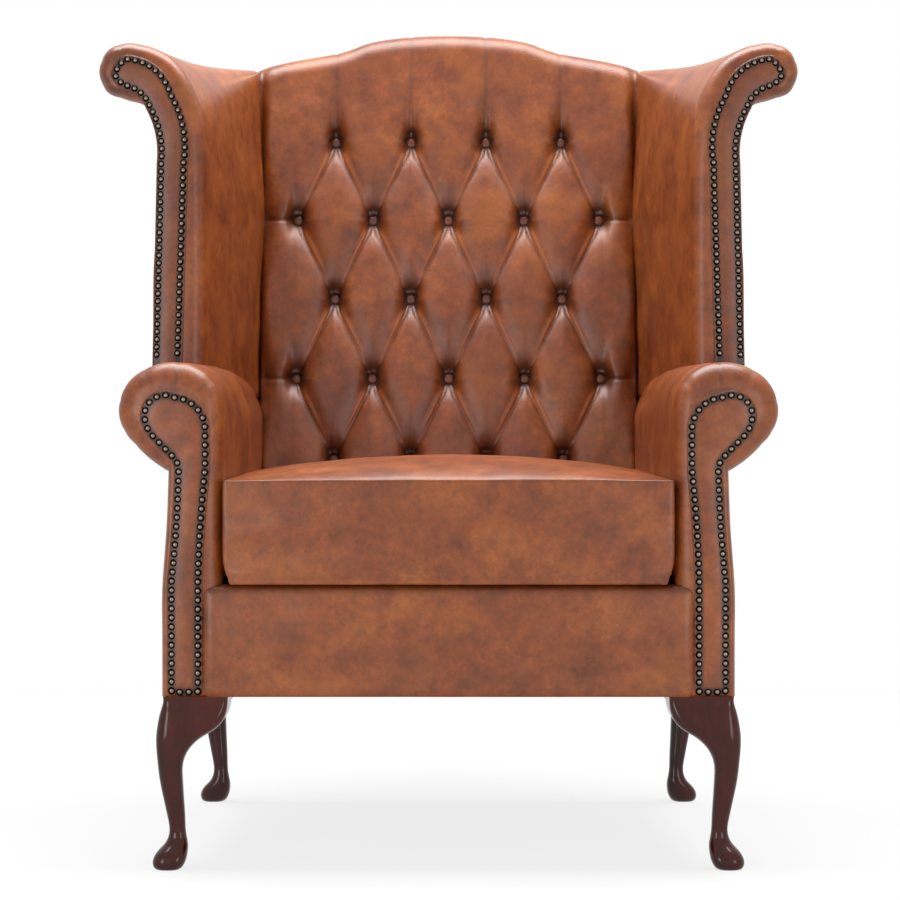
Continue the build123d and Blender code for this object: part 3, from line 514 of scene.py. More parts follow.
def tufting(x, z):
    """How far the buttoned front lies behind its pillows, and its painted shade: up to 1 in wells
    and creases, below 0 on fold ridges for rubbed wear and a painted highlight.
    """
    rows = np.clip((z - RAKE_LEVEL) / ROW, 0.0, ROWS - 1.0)
    half = PITCH / 2
    even = 2 * np.round(rows / 2)
    odd = level_near(z)
    best = np.full_like(x, -9.0)
    sign = np.zeros_like(x)
    outer = 2 * PITCH
    for level, centres in ((even, 0.0), (odd, 0.5)):
        limit = 2.0 - centres
        centre = np.clip(np.round(x / PITCH - centres) + centres, -limit, limit) * PITCH
        rise = rows - level
        across = np.abs(x - centre) / half
        edge = 1 - across - np.abs(rise)
        if centres == 0.0:
            side = np.clip((np.abs(x) - outer) / (BACK_HALF - outer), 0, 1)
            edge = np.where(np.abs(x) > outer, (1 - np.abs(rise)) * (1 - side**3), edge)
        better = edge > best
        best = np.where(better, edge, best)
        sign = np.where(better, rise, sign)
    edge = np.clip(best, 0.0, 1.0)
    near = np.full_like(x, 1e9)
    up = np.full_like(x, 1e9)
    hollow = np.full_like(x, 1e9)
    for bx, bz in BUTTONS:
        near = np.minimum(near, np.hypot(x - bx, (z - bz)))
        hollow = np.minimum(hollow, np.hypot(x - bx, (z - bz) * np.where(z < bz, 0.68, 1.0)))
        lift = np.where(z > bz, np.hypot((x - bx) * 1.55, (z - bz) * 0.4), 1e9)
        up = np.minimum(up, lift)
    above = smooth(z, TOP_ROW + 6, TOP_ROW + 80)
    below = smooth(-z, -RAKE_LEVEL + 6, -RAKE_LEVEL + 70)
    side = smooth(np.abs(x), outer + 6, BACK_HALF)
    flank = smooth(np.abs(x), outer + 4, outer + 18) * smooth(-np.abs(x), -272.0, -258.0)
    valley = (VALLEY - 9.0 * above - 3.0 * below) * (1 - 0.8 * flank)
    valley = valley + side**2 * (SIDE_VALLEY - valley) * (1 - 0.6 * above)
    well = np.exp(-((hollow / 15.0) ** 1.6))
    fold = valley + (WELL + 1.0 - valley) * well
    reach = 0.98 - 0.84 * above * (1 - side) - 0.5 * side * (1 - above)
    full = 1 - (1 - np.clip(edge / reach, 0, 1)) ** 2.35
    depth = fold * (1 - full)
    depth += 6.5 * np.exp(-((up / 15.0) ** 2)) * smooth(near, 7.0, 16.0)
    sweep = 0.5 - 0.5 * np.cos(2 * math.pi * x / PITCH)
    depth += 2.0 * above * sweep * smooth(-np.abs(x), -235.0, -190.0)
    span = edge * HALF_PILLOW
    inside = smooth(near, 12.0, 22.0) * (1 - above) * (1 - below)
    tilt = np.where(sign > 0, -span, span)
    lip = -1.9 * np.exp(-(((tilt - 2.2) / 2.2) ** 2)) + 1.7 * np.exp(-(((tilt + 1.8) / 2.2) ** 2))
    run = np.ceil(rows) - rows
    lip = lip * (1.25 - 1.1 * smooth(run, 0.35, 0.8))
    depth += lip * inside * (np.abs(x) < outer)
    groove = np.exp(-((span / 2.0) ** 2))
    depth += 1.1 * groove * np.maximum(above, below) * (1 - side)
    pleat = np.exp(-(((z - RAKE_LEVEL) / ROW - level_near(z)) * ROW / 1.8) ** 2)
    depth += 1.6 * pleat * flank * (1 - above) * (1 - below)
    bottom = smooth(-near, -9.5, -5.0)
    depth = depth * (1 - bottom) + WELL * bottom
    # Painted shade in the button wells, in the dimples above the buttons and along the creases.
    dark = 1.15 * np.exp(-((near / 15.0) ** 2)) + 0.95 * np.exp(-((up / 14.0) ** 2))
    crease = inside * (np.abs(x) < outer)
    dark = dark + 0.42 * np.exp(-(((tilt + 2.6) / 2.4) ** 2)) * crease
    dark = np.clip(dark + 0.3 * np.exp(-((span / 3.0) ** 2)) * (1 - crease), 0, 1)
    # Paler on the fold ridges and the side pleats: rubbed wear and a painted highlight where they
    # catch light.
    rubbed_and_highlight = np.exp(-(((tilt - 1.7) / 1.7) ** 2)) * crease * (1 - 0.75 * smooth(run, 0.3, 0.8))
    rubbed_and_highlight = np.clip(rubbed_and_highlight + 0.6 * pleat * flank, 0, 1)
    return depth, dark - rubbed_and_highlight * (1 - dark)


def tufted_back():
    """Buttoned inside back with its rounded crest, as a closed padded form."""
    low = DECK_Z + 2
    high = float(CREST[0][1])
    width = 2 * (BACK_HALF - 1.0)
    thick = BACK_THICK - 4
    points, normal, faces = lattice((width, thick, high - low), 3.5, (2.4, 10.0, 2.4))
    across = (points[:, 0] - width / 2) / (width / 2)
    share = points[:, 2] / (high - low)
    z0 = low + share * (high - low)
    x = across * (back_half(z0) - 1.0)
    top = crest(x)
    z = low + share * (top - low)
    depth, dark = tufting(x, z)
    front = np.clip(-normal[:, 1], 0, 1)
    up = np.clip(normal[:, 2], 0, 1) * (share > 0.5)
    weight = np.sqrt(np.clip(front**2 + up**2, 0, 1)) * (1 - np.clip(normal[:, 1], 0, 1))
    back_share = 1 - points[:, 1] / thick
    turn = np.clip(1 - (top - z) / 26.0, 0, 1)
    depth = depth + 20.0 * (1 - np.sqrt(1 - 0.96 * turn**2.4)) / 0.8
    y = points[:, 1] + depth * back_share
    ridge = np.exp(-((np.abs(np.abs(x) - PITCH) - PITCH / 2) / 2.5) ** 2)
    z = z - 1.2 * ridge * up * back_share
    place = np.stack([x, y, z], axis=1)
    soft = ripple(place, 70.0, 1) * 1.4 + ripple(place, 24.0, 2) * 0.45
    y = y - soft * front
    y = FRONT_Y + back_depth(z) + y
    # Painted shade over the whole back, heavier towards the bottom, with the fold marks on faces
    # that look forward or up.
    painted_base_shade = 0.14 + 0.14 * smooth(-z, -900.0, -560.0)
    shade = dark * weight + painted_base_shade * (1 - weight * np.abs(dark))
    piece = to_object(
        "tufted_inside_back", np.stack([x, y, z], axis=1), faces, hide, "frame", shade
    )
    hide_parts("inside_back_leather", "back_foam")


def dome(radius, rim, rise, skirt, around=28, ringed=7):
    """Round covered button: points and faces, its crown along +Z."""
    profile = [(radius * 0.55, -skirt), (radius * 0.94, -skirt * 0.4)]
    profile += [(radius, rim * 0.4), (radius * 0.985, rim)]
    for i in range(1, ringed):
        angle = i / ringed * math.pi / 2
        profile.append((radius * 0.97 * math.cos(angle), rim + (rise - rim) * math.sin(angle)))
    points = []
    for r, h in profile:
        for k in range(around):
            a = 2 * math.pi * k / around
            points.append((r * math.cos(a), r * math.sin(a), h))
    last = len(points)
    points.append((0.0, 0.0, rise))
    faces = []
    for i in range(len(profile) - 1):
        for k in range(around):
            n = (k + 1) % around
            below, above = i * around, (i + 1) * around
            faces.append((below + k, below + n, above + n, above + k))
    top = (len(profile) - 1) * around
    faces += [(top + k, top + (k + 1) % around, last) for k in range(around)]
    faces.append(tuple(range(around))[::-1])
    return np.array(points), faces


def buttons():
    """Leather-covered buttons in their wells."""
    unit, unit_faces = dome(8.8, 1.4, 5.2, 1.5)
    lean = np.array([0.0, -math.cos(RAKE), math.sin(RAKE)])
    across = np.array([1.0, 0.0, 0.0])
    up = np.cross(lean, across)
    points, faces, shade = [], [], []
    for i, (x, z) in enumerate(BUTTONS):
        seat = np.array([x, FRONT_Y + back_depth(z) + WELL, z])
        turn = i * 0.7
        a = math.cos(turn) * across + math.sin(turn) * up
        b = -math.sin(turn) * across + math.cos(turn) * up
        puck = unit.copy()
        ring = np.arctan2(puck[:, 1], puck[:, 0])
        low = puck[:, 2] < 2.2
        puck[:, :2] *= (1 + 0.018 * np.cos(9 * ring) * low)[:, None]
        placed = seat + puck[:, :1] * a + puck[:, 1:2] * b + puck[:, 2:] * lean
        faces += [tuple(k + len(points) * len(unit) for k in f) for f in unit_faces]
        points.append(placed)
        # Painted shade round the button's rim and skirt, where it sits in its well.
        shade.append(np.clip(1.5 - puck[:, 2] / 3.2, 0, 1))
    piece = to_object(
        "covered_buttons", np.concatenate(points), faces, hide_button, "frame",
        np.concatenate(shade),
    )
    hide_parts("back_buttons")


# Seat cushion

def cushion():
    """Crowned seat cushion with its seams, drawn in at the lower corners."""
    half_front, half_back = 283.0, 271.0
    near, far = -4.0, RAKE_DEPTH - 32.0
    height = 131.0
    crown_rise, belly_out, band_out, corner_in = 25.0, 3.0, 1.5, 7.0
    width, length = 2 * half_front, far - near
    points, normal, faces = lattice((width, length, height), 5.0, (5.0, 5.0, 3.0))
    u = (points[:, 0] - width / 2) / (width / 2)
    v = points[:, 1] / length
    w = points[:, 2] / height
    half = half_front + (half_back - half_front) * v
    crown = (1 - np.abs(u) ** 2.3) * (1 - (2 * np.clip(v, 0, 1) - 1) ** 4) ** 0.8
    z = DECK_Z + points[:, 2] + crown_rise * crown * w**1.5
    edge = np.abs(normal[:, 2]) * np.sqrt(np.clip(1 - normal[:, 2] ** 2, 0, 1)) * 2
    bead = np.exp(-(((edge - 1) / 0.16) ** 2)) * (w > 0.5)
    side = np.clip(np.abs(normal[:, 0]), 0, 1)
    front = np.clip(-normal[:, 1], 0, 1)
    rear = np.clip(normal[:, 1], 0, 1)
    x = u * half
    y = near + points[:, 1]
    belly = np.sin(np.pi * np.clip(w, 0, 1))
    bands = np.sin(w * 15.0 + 0.6 + 1.4 * np.sin(u * 3.0)) * (1 - np.abs(u) ** 8) * belly
    y = y - front * (belly_out * belly * (1 - np.abs(u) ** 6) + band_out * bands)
    low_pull = smooth(-w, -0.32, 0.0) ** 2
    corner = smooth(np.abs(u), 0.93, 1.0)
    x = x - np.sign(u) * (low_pull * corner_in * corner + side * (1 - belly) * (w < 0.5))
    y = y + front * low_pull * corner * 4.0
    y = y + rear * (z - DECK_Z) * SLOPE
    seam = np.exp(-(((points[:, 2] - 13.0) / 1.6) ** 2))
    seam = seam - 0.8 * np.exp(-(((points[:, 2] - 9.5) / 1.8) ** 2))
    flank = np.maximum(side, np.maximum(front, rear))
    push = 1.1 * bead + 1.3 * seam * flank
    place = np.stack([x, y, z], axis=1)
    soft = ripple(place, 90.0, 5) * 1.6 + ripple(place, 30.0, 6) * 0.5
    under = (w < 0.04) & (np.abs(normal[:, 2]) > 0.7)
    push = push + np.where(under, 0.0, soft) * (1 - 0.7 * side)
    place = place + normal * push[:, None]
    limit = half - 0.3
    place[:, 0] = np.clip(place[:, 0], -limit, limit)
    rear_limit = FRONT_Y + RAKE_DEPTH - 3.0 + (place[:, 2] - RAKE_LEVEL) * SLOPE
    place[:, 1] = np.minimum(FRONT_Y + place[:, 1], rear_limit)
    place[:, 2] = np.maximum(place[:, 2], DECK_Z + 0.2)
    # Painted shade along the lower seam and beside the top edge's bead.
    shade = np.clip(0.22 * np.exp(-(((points[:, 2] - 9.0) / 1.5) ** 2)) * flank, 0, 1)
    shade = np.maximum(shade, 0.35 * np.exp(-(((edge - 0.8) / 0.1) ** 2)) * (w > 0.5))
    piece = to_object("seat_cushion", place, faces, hide, "seat_cushion", shade)
    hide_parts("seat_cushion_cover", "cushion_core")


def front_border():
    """Padded front border below the cushion."""
    half, deep, high = 318.0, 40.0, DECK_Z - BASE_Z
    swell, tuck_in = 5.5, 4.0
    points, normal, faces = lattice((2 * half, deep, high), 12.0, (6.0, 6.0, 4.0))
    x = points[:, 0] - half
    w = points[:, 2] / high
    front = np.clip(-normal[:, 1], 0, 1)
    z = BASE_Z + points[:, 2]
    low = w < 0.12
    z = np.where(low & (normal[:, 2] < -0.2), BASE_Z, z)
    tuck = smooth(np.abs(x), 303.0, 309.0)
    y = points[:, 1] - front * (swell * np.sin(np.pi * w) * (1 - tuck) - tuck_in * tuck)
    place = np.stack([x, y, z], axis=1)
    y = y - front * (ripple(place, 60.0, 8) * 0.9 + ripple(place, 20.0, 9) * 0.3)
    hem = np.exp(-(((points[:, 2] - 7.0) / 1.5) ** 2)) * front
    y = y + 0.8 * hem
    place = np.stack([x, FRONT_Y + y, z], axis=1)
    # Painted shade along the hem, and a painted shadow under the cushion at the top.
    shade = np.clip(0.25 * hem + 0.6 * smooth(w, 0.86, 1.0), 0, 1)
    piece = to_object("front_border", place, faces, hide, "frame", shade)
    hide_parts("front_rail_leather", "front_rail_padding")


def deck():
    """Cloth-covered platform under the cushion."""
    low, high = 335.0, DECK_Z
    near, far = 42.0, 582.0
    half = BACK_HALF - 1.0
    points, normal, faces = lattice((2 * half, far - near, high - low), 6.0, (12.0, 12.0, 6.0))
    x = points[:, 0] - half
    y = near + points[:, 1]
    sag = (1 - (x / half) ** 4) * (1 - (2 * (y - near) / (far - near) - 1) ** 4)
    z = low + points[:, 2] - 3.0 * sag * np.clip(normal[:, 2], 0, 1)
    place = np.stack([x, FRONT_Y + y, z], axis=1)
    piece = to_object("seat_platform", place, faces, platform_cloth, "frame", None)
    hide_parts("seat_deck")


# Arms

# Angle and strength of each pleat round the front of a roll or a scroll
ARM_PLEATS = ((96, 1.0), (143, 0.8), (52, 0.7), (10, 0.8), (-24, 0.9), (-44, 0.6))
WING_PLEATS = ((112, 0.8), (68, 0.9), (22, 0.8), (-22, 0.9), (-66, 0.7))


def arm_ring(shape, insets, depth):
    """One section of a right arm, drawn in by insets at its inner side, roll and outer side."""
    inner, outer, centre, reach_out = shape
    inset_inner, inset_roll, inset_outer = insets
    level = ROLL[1]
    rise = ARM_TOP - level - inset_roll
    reach_in = centre - inner - inset_inner
    reach = reach_out - inset_roll
    taper = 360.0 - outer
    line = [(inner + inset_inner, z) for z in np.linspace(BASE_Z, level, 34)]
    for degrees in np.linspace(180, 90, 19)[1:]:
        a = math.radians(degrees)
        line.append((centre + reach_in * math.cos(a), level + rise * math.sin(a)))
    for degrees in np.linspace(90, -45, 30)[1:]:
        a = math.radians(degrees)
        line.append((centre + reach * math.cos(a), level + rise * math.sin(a)))
    notch = (352.0 - taper - inset_outer, 497.0 + 0.6 * inset_roll)  # where the roll ends below
    under = line[-1]
    bow = ((under[0] + notch[0]) / 2 + 2.0, (under[1] + notch[1]) / 2 - 2.0)
    line += arc(under, bow, notch, 10)
    wall = outer - inset_outer
    side = [notch, (354.5 - taper - inset_outer, 430.0), (wall, 350.0), (wall, 290.0)]
    line += [tuple(p) for p in spline(side, 26)[1:]]
    line += [(wall, z) for z in np.linspace(290.0, BASE_Z, 10)[1:]]
    line += [(x, BASE_Z) for x in np.linspace(wall, inner + inset_inner, 8)[1:-1]]
    return np.array([(x, depth, z) for x, z in line])


def arm():
    """Scroll arm: rounded, pleated front border, roll and outside panel."""
    front = np.array([283.0, 360.0, ROLL[0], 70.0])
    rear = np.array([BACK_HALF, 335.0, 322.0, 50.0])
    border = np.array([24.0, 30.0, 6.0])
    deep = 25.0
    sections = []
    for degrees in np.linspace(0, 90, 9):
        a = math.radians(degrees)
        place = 1.5 + (deep - 1.5) * (1 - math.cos(a))
        sections.append(arm_ring(front, border * (1 - math.sin(a)), place))
    tail = BASE_DEPTH + 60.0
    rear_swell = 8.0
    for depth in np.concatenate([np.arange(31.0, 100.0, 6.0), np.linspace(106.0, tail, 52)]):
        share = (depth - deep) / (tail - deep)
        sections.append(arm_ring(front + (rear - front) * share, (0, 0, 0), depth))
    sections = np.array(sections)
    across, up = sections[:, :, 0], sections[:, :, 2]
    flat = (up < ARM_TOP - 55) & (across < 300)
    sections[:, :, 0] = np.where(flat, np.maximum(across, BACK_HALF), across)
    points, faces = rings(sections)
    depth = points[:, 1]
    angle, outward = round_scroll(points, ROLL)
    fade = np.exp(-((depth / 26.0) ** 2)) * smooth(points[:, 2], 515.0, 560.0)
    line = pleat_profile(angle, ARM_PLEATS, 1.9) * fade
    wide = pleat_profile(angle, ARM_PLEATS, 7.0) * fade
    points = points - outward * (1.7 * line + 1.3 * wide)[:, None]
    limit = back_depth(points[:, 2]) + BACK_THICK - 3.0
    limit = np.where(points[:, 2] < KINK_Z, BASE_DEPTH - 3.0, limit)
    points[:, 1] = np.minimum(points[:, 1], limit)
    soft = ripple(points, 60.0, 11) * 1.2 + ripple(points, 22.0, 12) * 0.4
    inner = points[:, 0] < 300
    swell = smooth(depth, 120.0, 500.0) * smooth(-points[:, 2], -592.0, -560.0) * inner
    points[:, 0] -= rear_swell * swell * smooth(points[:, 2], DECK_Z, DECK_Z + 60.0)
    push = np.where(inner, np.minimum(soft, 0.0) * 0.6, soft * 0.7)
    points = points + outward * push[:, None] * (points[:, 2] > BASE_Z + 12)[:, None]
    points[:, 1] += FRONT_Y
    # Painted shade in the pleats and in the notch under the roll.
    notch = np.exp(-(((points[:, 2] - 500.0) / 6.0) ** 2)) * (points[:, 0] > 330)
    shade = np.clip(0.55 * line + 0.5 * notch, 0, 1)
    both_sides(
        "arm_pad", points, faces, hide, shade,
        ("inside_arm_leather", "outside_arm_leather", "arm_foam"),
    )


# Wings

# Outlines of the wing at its front and its rear: place across, level, and the way that a
# point moves when the outline is drawn in
WING_FRONT = [
    (326.0, 590.0, 1, 0),
    (324.5, 700.0, 1, 0),
    (324.5, 830.0, 1, 0),
    (326.0, 925.0, 1, 0),
    (334.4, 987.0, 0.94, -0.34),
    (360.4, 1036.5, 0.7, -0.7),
    (394.4, 1060.0, 0.3, -0.95),
    (433.0, 1067.5, 0.0, -1.0),
    (459.6, 1056.6, -0.7, -0.7),
    (470.5, 1029.0, -1.0, 0.0),
    (459.6, 1001.8, -0.7, 0.7),
    (433.0, 991.0, 0.0, 1.0),
    (408.5, 983.0, -0.6, 0.8),
    (394.5, 962.0, -0.9, 0.4),
    (389.5, 930.0, -1.0, 0.0),
    (388.6, 880.0, -1.0, 0.0),
    (392.5, 820.0, -1.0, 0.0),
    (396.5, 760.0, -1.0, 0.0),
    (397.0, 680.0, -1.0, 0.0),
    (396.5, 590.0, -1.0, 0.0),
]
WING_REAR = [
    (275.5, 590.0, 1, 0),
    (277.5, 700.0, 1, 0),
    (279.5, 830.0, 1, 0),
    (281.5, 925.0, 1, 0),
    (281.5, 1062.0, 1.0, 0.0),
    (283.0, 1073.0, 0.9, -0.4),
    (290.0, 1077.5, 0.5, -0.8),
    (305.0, 1078.0, 0.0, -1.0),
    (321.0, 1075.0, -0.45, -0.9),
    (331.5, 1067.0, -0.8, -0.6),
    (336.5, 1057.0, -0.95, -0.3),
    (338.6, 1043.0, -1.0, -0.1),
    (339.0, 1031.0, -1.0, 0.0),
    (339.4, 1010.0, -1.0, 0.0),
    (339.4, 960.0, -1.0, 0.0),
    (338.0, 900.0, -1.0, 0.0),
    (336.5, 830.0, -1.0, 0.0),
    (335.0, 760.0, -1.0, 0.0),
    (333.0, 680.0, -1.0, 0.0),
    (331.0, 590.0, -1.0, 0.0),
]
WING_COUNTS = (14, 16, 12, 9, 9, 7, 7, 6, 6, 6, 6, 5, 5, 5, 6, 7, 7, 8, 9)  # steps per span


def wing_line(table, insets):
    """Smooth outline of a wing through a table's points, drawn in by insets."""
    amounts = [insets[0]] * 6 + [insets[1]] * 7 + [insets[2]] * 7
    for i, share in ((5, 0.4), (6, 0.85), (12, 0.75), (13, 0.35)):
        first, second = (insets[0], insets[1]) if i < 9 else (insets[2], insets[1])
        amounts[i] = first + (second - first) * share
    points = np.array([(x + tx * m, z + tz * m) for (x, z, tx, tz), m in zip(table, amounts)])
    ends = np.vstack([2 * points[0] - points[1], points, 2 * points[-1] - points[-2]])
    line = []
    for i, count in enumerate(WING_COUNTS):
        line.append(curve(*ends[i : i + 4], (np.arange(count) / count)[:, None]))
    line.append(points[-1:])
    under = np.linspace(points[-1][0], points[0][0], 7)[1:-1]
    return np.vstack(line + [np.stack([under, np.full(5, points[0][1])], axis=1)])


def wing():
    """Scroll wing: bordered front, padded inner face and outside panel."""
    near, deep = WING_NEAR, 24.0
    border = np.array([22.0, 14.0, 2.0])
    head_dip, front_swell = 11.0, 4.0
    sections = []
    for degrees in np.linspace(0, 90, 9):
        a = math.radians(degrees)
        line = wing_line(WING_FRONT, border * (1 - math.sin(a)))
        place = near + 1.5 + (deep - 1.5) * (1 - math.cos(a))
        sections.append(np.stack([line[:, 0], np.full(len(line), place), line[:, 1]], axis=1))
    first = wing_line(WING_FRONT, (0, 0, 0))
    last = wing_line(WING_REAR, (0, 0, 0))
    start = np.stack([first[:, 0], np.full(len(first), near + deep), first[:, 1]], axis=1)
    seat = np.stack([last[:, 0], back_depth(last[:, 1]) + 22.0, last[:, 1]], axis=1)
    stop = np.stack([last[:, 0], back_depth(last[:, 1]) + BACK_THICK - 3.0, last[:, 1]], axis=1)
    inner_side = first[:, 0] < 345
    bulge = smooth(first[:, 1], 600, 700) * (1 - smooth(first[:, 1], 930, 1010)) * inner_side
    swell = np.exp(-(((last[:, 1] - 875.0) / 95.0) ** 2)) * (1 - smooth(last[:, 1], 985, 1045))
    swell = (3.0 + 7.0 * swell) * inner_side * smooth(last[:, 1], 640.0, 700.0)
    head = smooth(first[:, 1], 940, 1030)
    for share in np.linspace(0, 1, 46)[1:]:
        ring = start + (seat - start) * share
        ring[:, 2] -= head * head_dip * math.sin(math.pi * share) * (1 - 0.3 * share)
        ring[:, 0] -= bulge * front_swell * math.sin(math.pi * share) ** 0.8
        ring[:, 0] -= swell * (share * share * (3 - 2 * share))
        sections.append(ring)
    for share in np.linspace(0, 1, 8)[1:]:
        ring = seat + (stop - seat) * share
        ring[:, 0] -= swell * (1 - share)
        sections.append(ring)
    points, faces = rings(sections)
    depth = points[:, 1]
    angle, outward = round_scroll(points, SCROLL)
    fade = smooth(points[:, 0], 395.0, 415.0) * smooth(points[:, 2], 975.0, 990.0)
    fade = fade * np.exp(-(((depth - near) / 24.0) ** 2))
    line = pleat_profile(angle, WING_PLEATS, 3.6)
    pleats = (1.2 * line + 0.8 * pleat_profile(angle, WING_PLEATS, 11.0)) * fade
    points = points - outward * pleats[:, None]
    soft = ripple(points, 75.0, 21) * 1.3 + ripple(points, 26.0, 22) * 0.4
    sideways = np.where(points[:, 0] < 345, -1.0, 1.0) * smooth(depth, near + 6, near + 40)
    points[:, 0] += sideways * soft * (1 - smooth(depth, 480, 560)) * 0.8
    # Painted shade under the scroll's outer curl; with the pleats' painted shade it goes to the
    # wing pad below.
    seam = np.exp(-(((points[:, 2] - 1002.0) / 5.0) ** 2)) * (points[:, 0] > 385) * 0.4
    points[:, 1] += FRONT_Y
    both_sides(
        "wing_pad", points, faces, hide, np.clip(0.25 * pleats + seam, 0, 1),
        ("inside_wing_leather", "outside_wing_leather", "wing_foam"),
    )


# Facings inside the nail lines

# Nail lines: a start, then runs that end at a point or bend through one to the next
ARM_LINE = (
    (313.5, 222.5),
    [
        ((313.5, 360.0),),
        ((310.5, 430.0), (304.5, 500.0)),
        ((304.5, 550.0),),
        ((316.2, 578.3), (342.0, 590.0)),
        ((373.6, 584.1), (379.5, 566.0)),
        ((376.6, 553.5), (368.0, 541.0)),
        ((342.9, 515.0),),
        ((338.5, 507.5), (337.0, 500.0)),
        ((340.0, 430.0), (346.0, 360.0)),
        ((346.0, 222.5),),
    ],
)
WING_LINE = (
    (363.5, 604.0),
    [
        ((355.0, 905.0),),
        ((359.9, 968.0), (372.8, 996.6)),
        ((397.3, 1032.0), (431.7, 1043.5)),
        ((441.6, 1033.7), (446.5, 1023.0)),
        ((441.6, 1015.5), (430.0, 1008.0)),
        ((414.8, 1000.9), (399.5, 980.0)),
        ((389.4, 956.0), (384.5, 905.0)),
        ((391.0, 604.0),),
    ],
)


def widened(line, margin):
    """Closed line moved outwards, with its crossings dropped."""
    ring = line[:-1]
    ahead, behind = np.roll(ring, -1, axis=0), np.roll(ring, 1, axis=0)
    tangent = ahead - behind
    tangent /= np.linalg.norm(tangent, axis=1)[:, None]
    area = 0.5 * np.sum(ring[:, 0] * ahead[:, 1] - ahead[:, 0] * ring[:, 1])
    outward = np.stack([tangent[:, 1], -tangent[:, 0]], axis=1) * (1 if area > 0 else -1)
    moved = ring + outward * margin
    gap = np.array([np.min(np.linalg.norm(ring - p, axis=1)) for p in moved])
    return moved[gap > margin - 0.35]


def turning(a, b, c):
    """Twice the area of a triangle, above 0 where it turns left."""
    return (b[0] - a[0]) * (c[1] - a[1]) - (c[0] - a[0]) * (b[1] - a[1])


def facing(name, line_data, rise, plane, lowest, replaced, tone=0.0):
    """Domed leather panel inside a nail line, pinched at each nail, with painted shade along the
    nails and painted shade of at least tone all over.
    """
    nail_line = chain(*line_data)
    edge = widened(nail_line, NAIL_MARGIN)
    edge[:, 1] = np.maximum(edge[:, 1], lowest)
    edge = resample(np.vstack([edge, edge[:1]]), 2.4)[:-1]
    low, high = edge.min(axis=0), edge.max(axis=0)
    grid = []
    step = 2.6
    for z in np.arange(low[1], high[1], step):
        offset = 0.5 * step * (int(round(z / step)) % 2)
        grid += [(x, z) for x in np.arange(low[0] + offset, high[0], step)]
    grid = np.array(grid)
    inside = np.zeros(len(grid), dtype=bool)
    for a, b in zip(edge, np.roll(edge, -1, axis=0)):
        crosses = (a[1] > grid[:, 1]) != (b[1] > grid[:, 1])
        slope = (b[0] - a[0]) / (b[1] - a[1] + 1e-12)
        inside ^= crosses & (grid[:, 0] < a[0] + slope * (grid[:, 1] - a[1]))
    grid = grid[inside]
    gap = np.min(np.linalg.norm(grid[:, None, :] - edge[None, :, :], axis=2), axis=1)
    grid, gap = grid[gap > 1.5], gap[gap > 1.5]
    flat = np.vstack([edge, grid])
    loop = [(i, (i + 1) % len(edge)) for i in range(len(edge))]
    made = delaunay_2d_cdt([Vector(p) for p in flat.tolist()], loop, [], 1, 1e-5)
    verts = np.array([tuple(v) for v in made[0]])
    gap = np.min(np.linalg.norm(verts[:, None, :] - edge[None, :, :], axis=2), axis=1)
    nail_gap = np.array([np.min(np.linalg.norm(nail_line - p, axis=1)) for p in verts])
    inner = np.where(gap > NAIL_MARGIN, nail_gap, 0.0)
    lift = 0.2 + rise * (1 - np.exp(-inner / 6.0))
    lift = np.where(gap < NAIL_MARGIN, 0.2 - 1.6 * (1 - gap / NAIL_MARGIN) ** 2, lift)
    x, z = verts[:, 0], verts[:, 1]
    lift = lift + ripple(np.stack([x, z, z * 0], axis=1), 26.0, 31) * 0.4 * (inner > 2)
    front = np.stack([x, FRONT_Y + plane - lift, z], axis=1)
    back = np.stack([x, np.full(len(verts), FRONT_Y + plane + 3.5), z], axis=1)
    count = len(verts)
    triangles = [list(f) if turning(*verts[f]) > 0 else list(f)[::-1] for f in made[2]]
    faces = triangles + [[i + count for i in f[::-1]] for f in triangles]
    sides = dict.fromkeys((f[i], f[(i + 1) % 3]) for f in triangles for i in range(3))
    faces += [[b, a, a + count, b + count] for a, b in sides if (b, a) not in sides]
    # Painted shade along the pinched nail line, never below tone.
    painted_nail_shade = np.maximum(tone, 1.25 * np.exp(-((nail_gap / 5.2) ** 4)))
    shade = np.concatenate([painted_nail_shade, np.zeros(count)])
    both_sides(name, np.vstack([front, back]), faces, hide, shade, replaced)


# Outside back

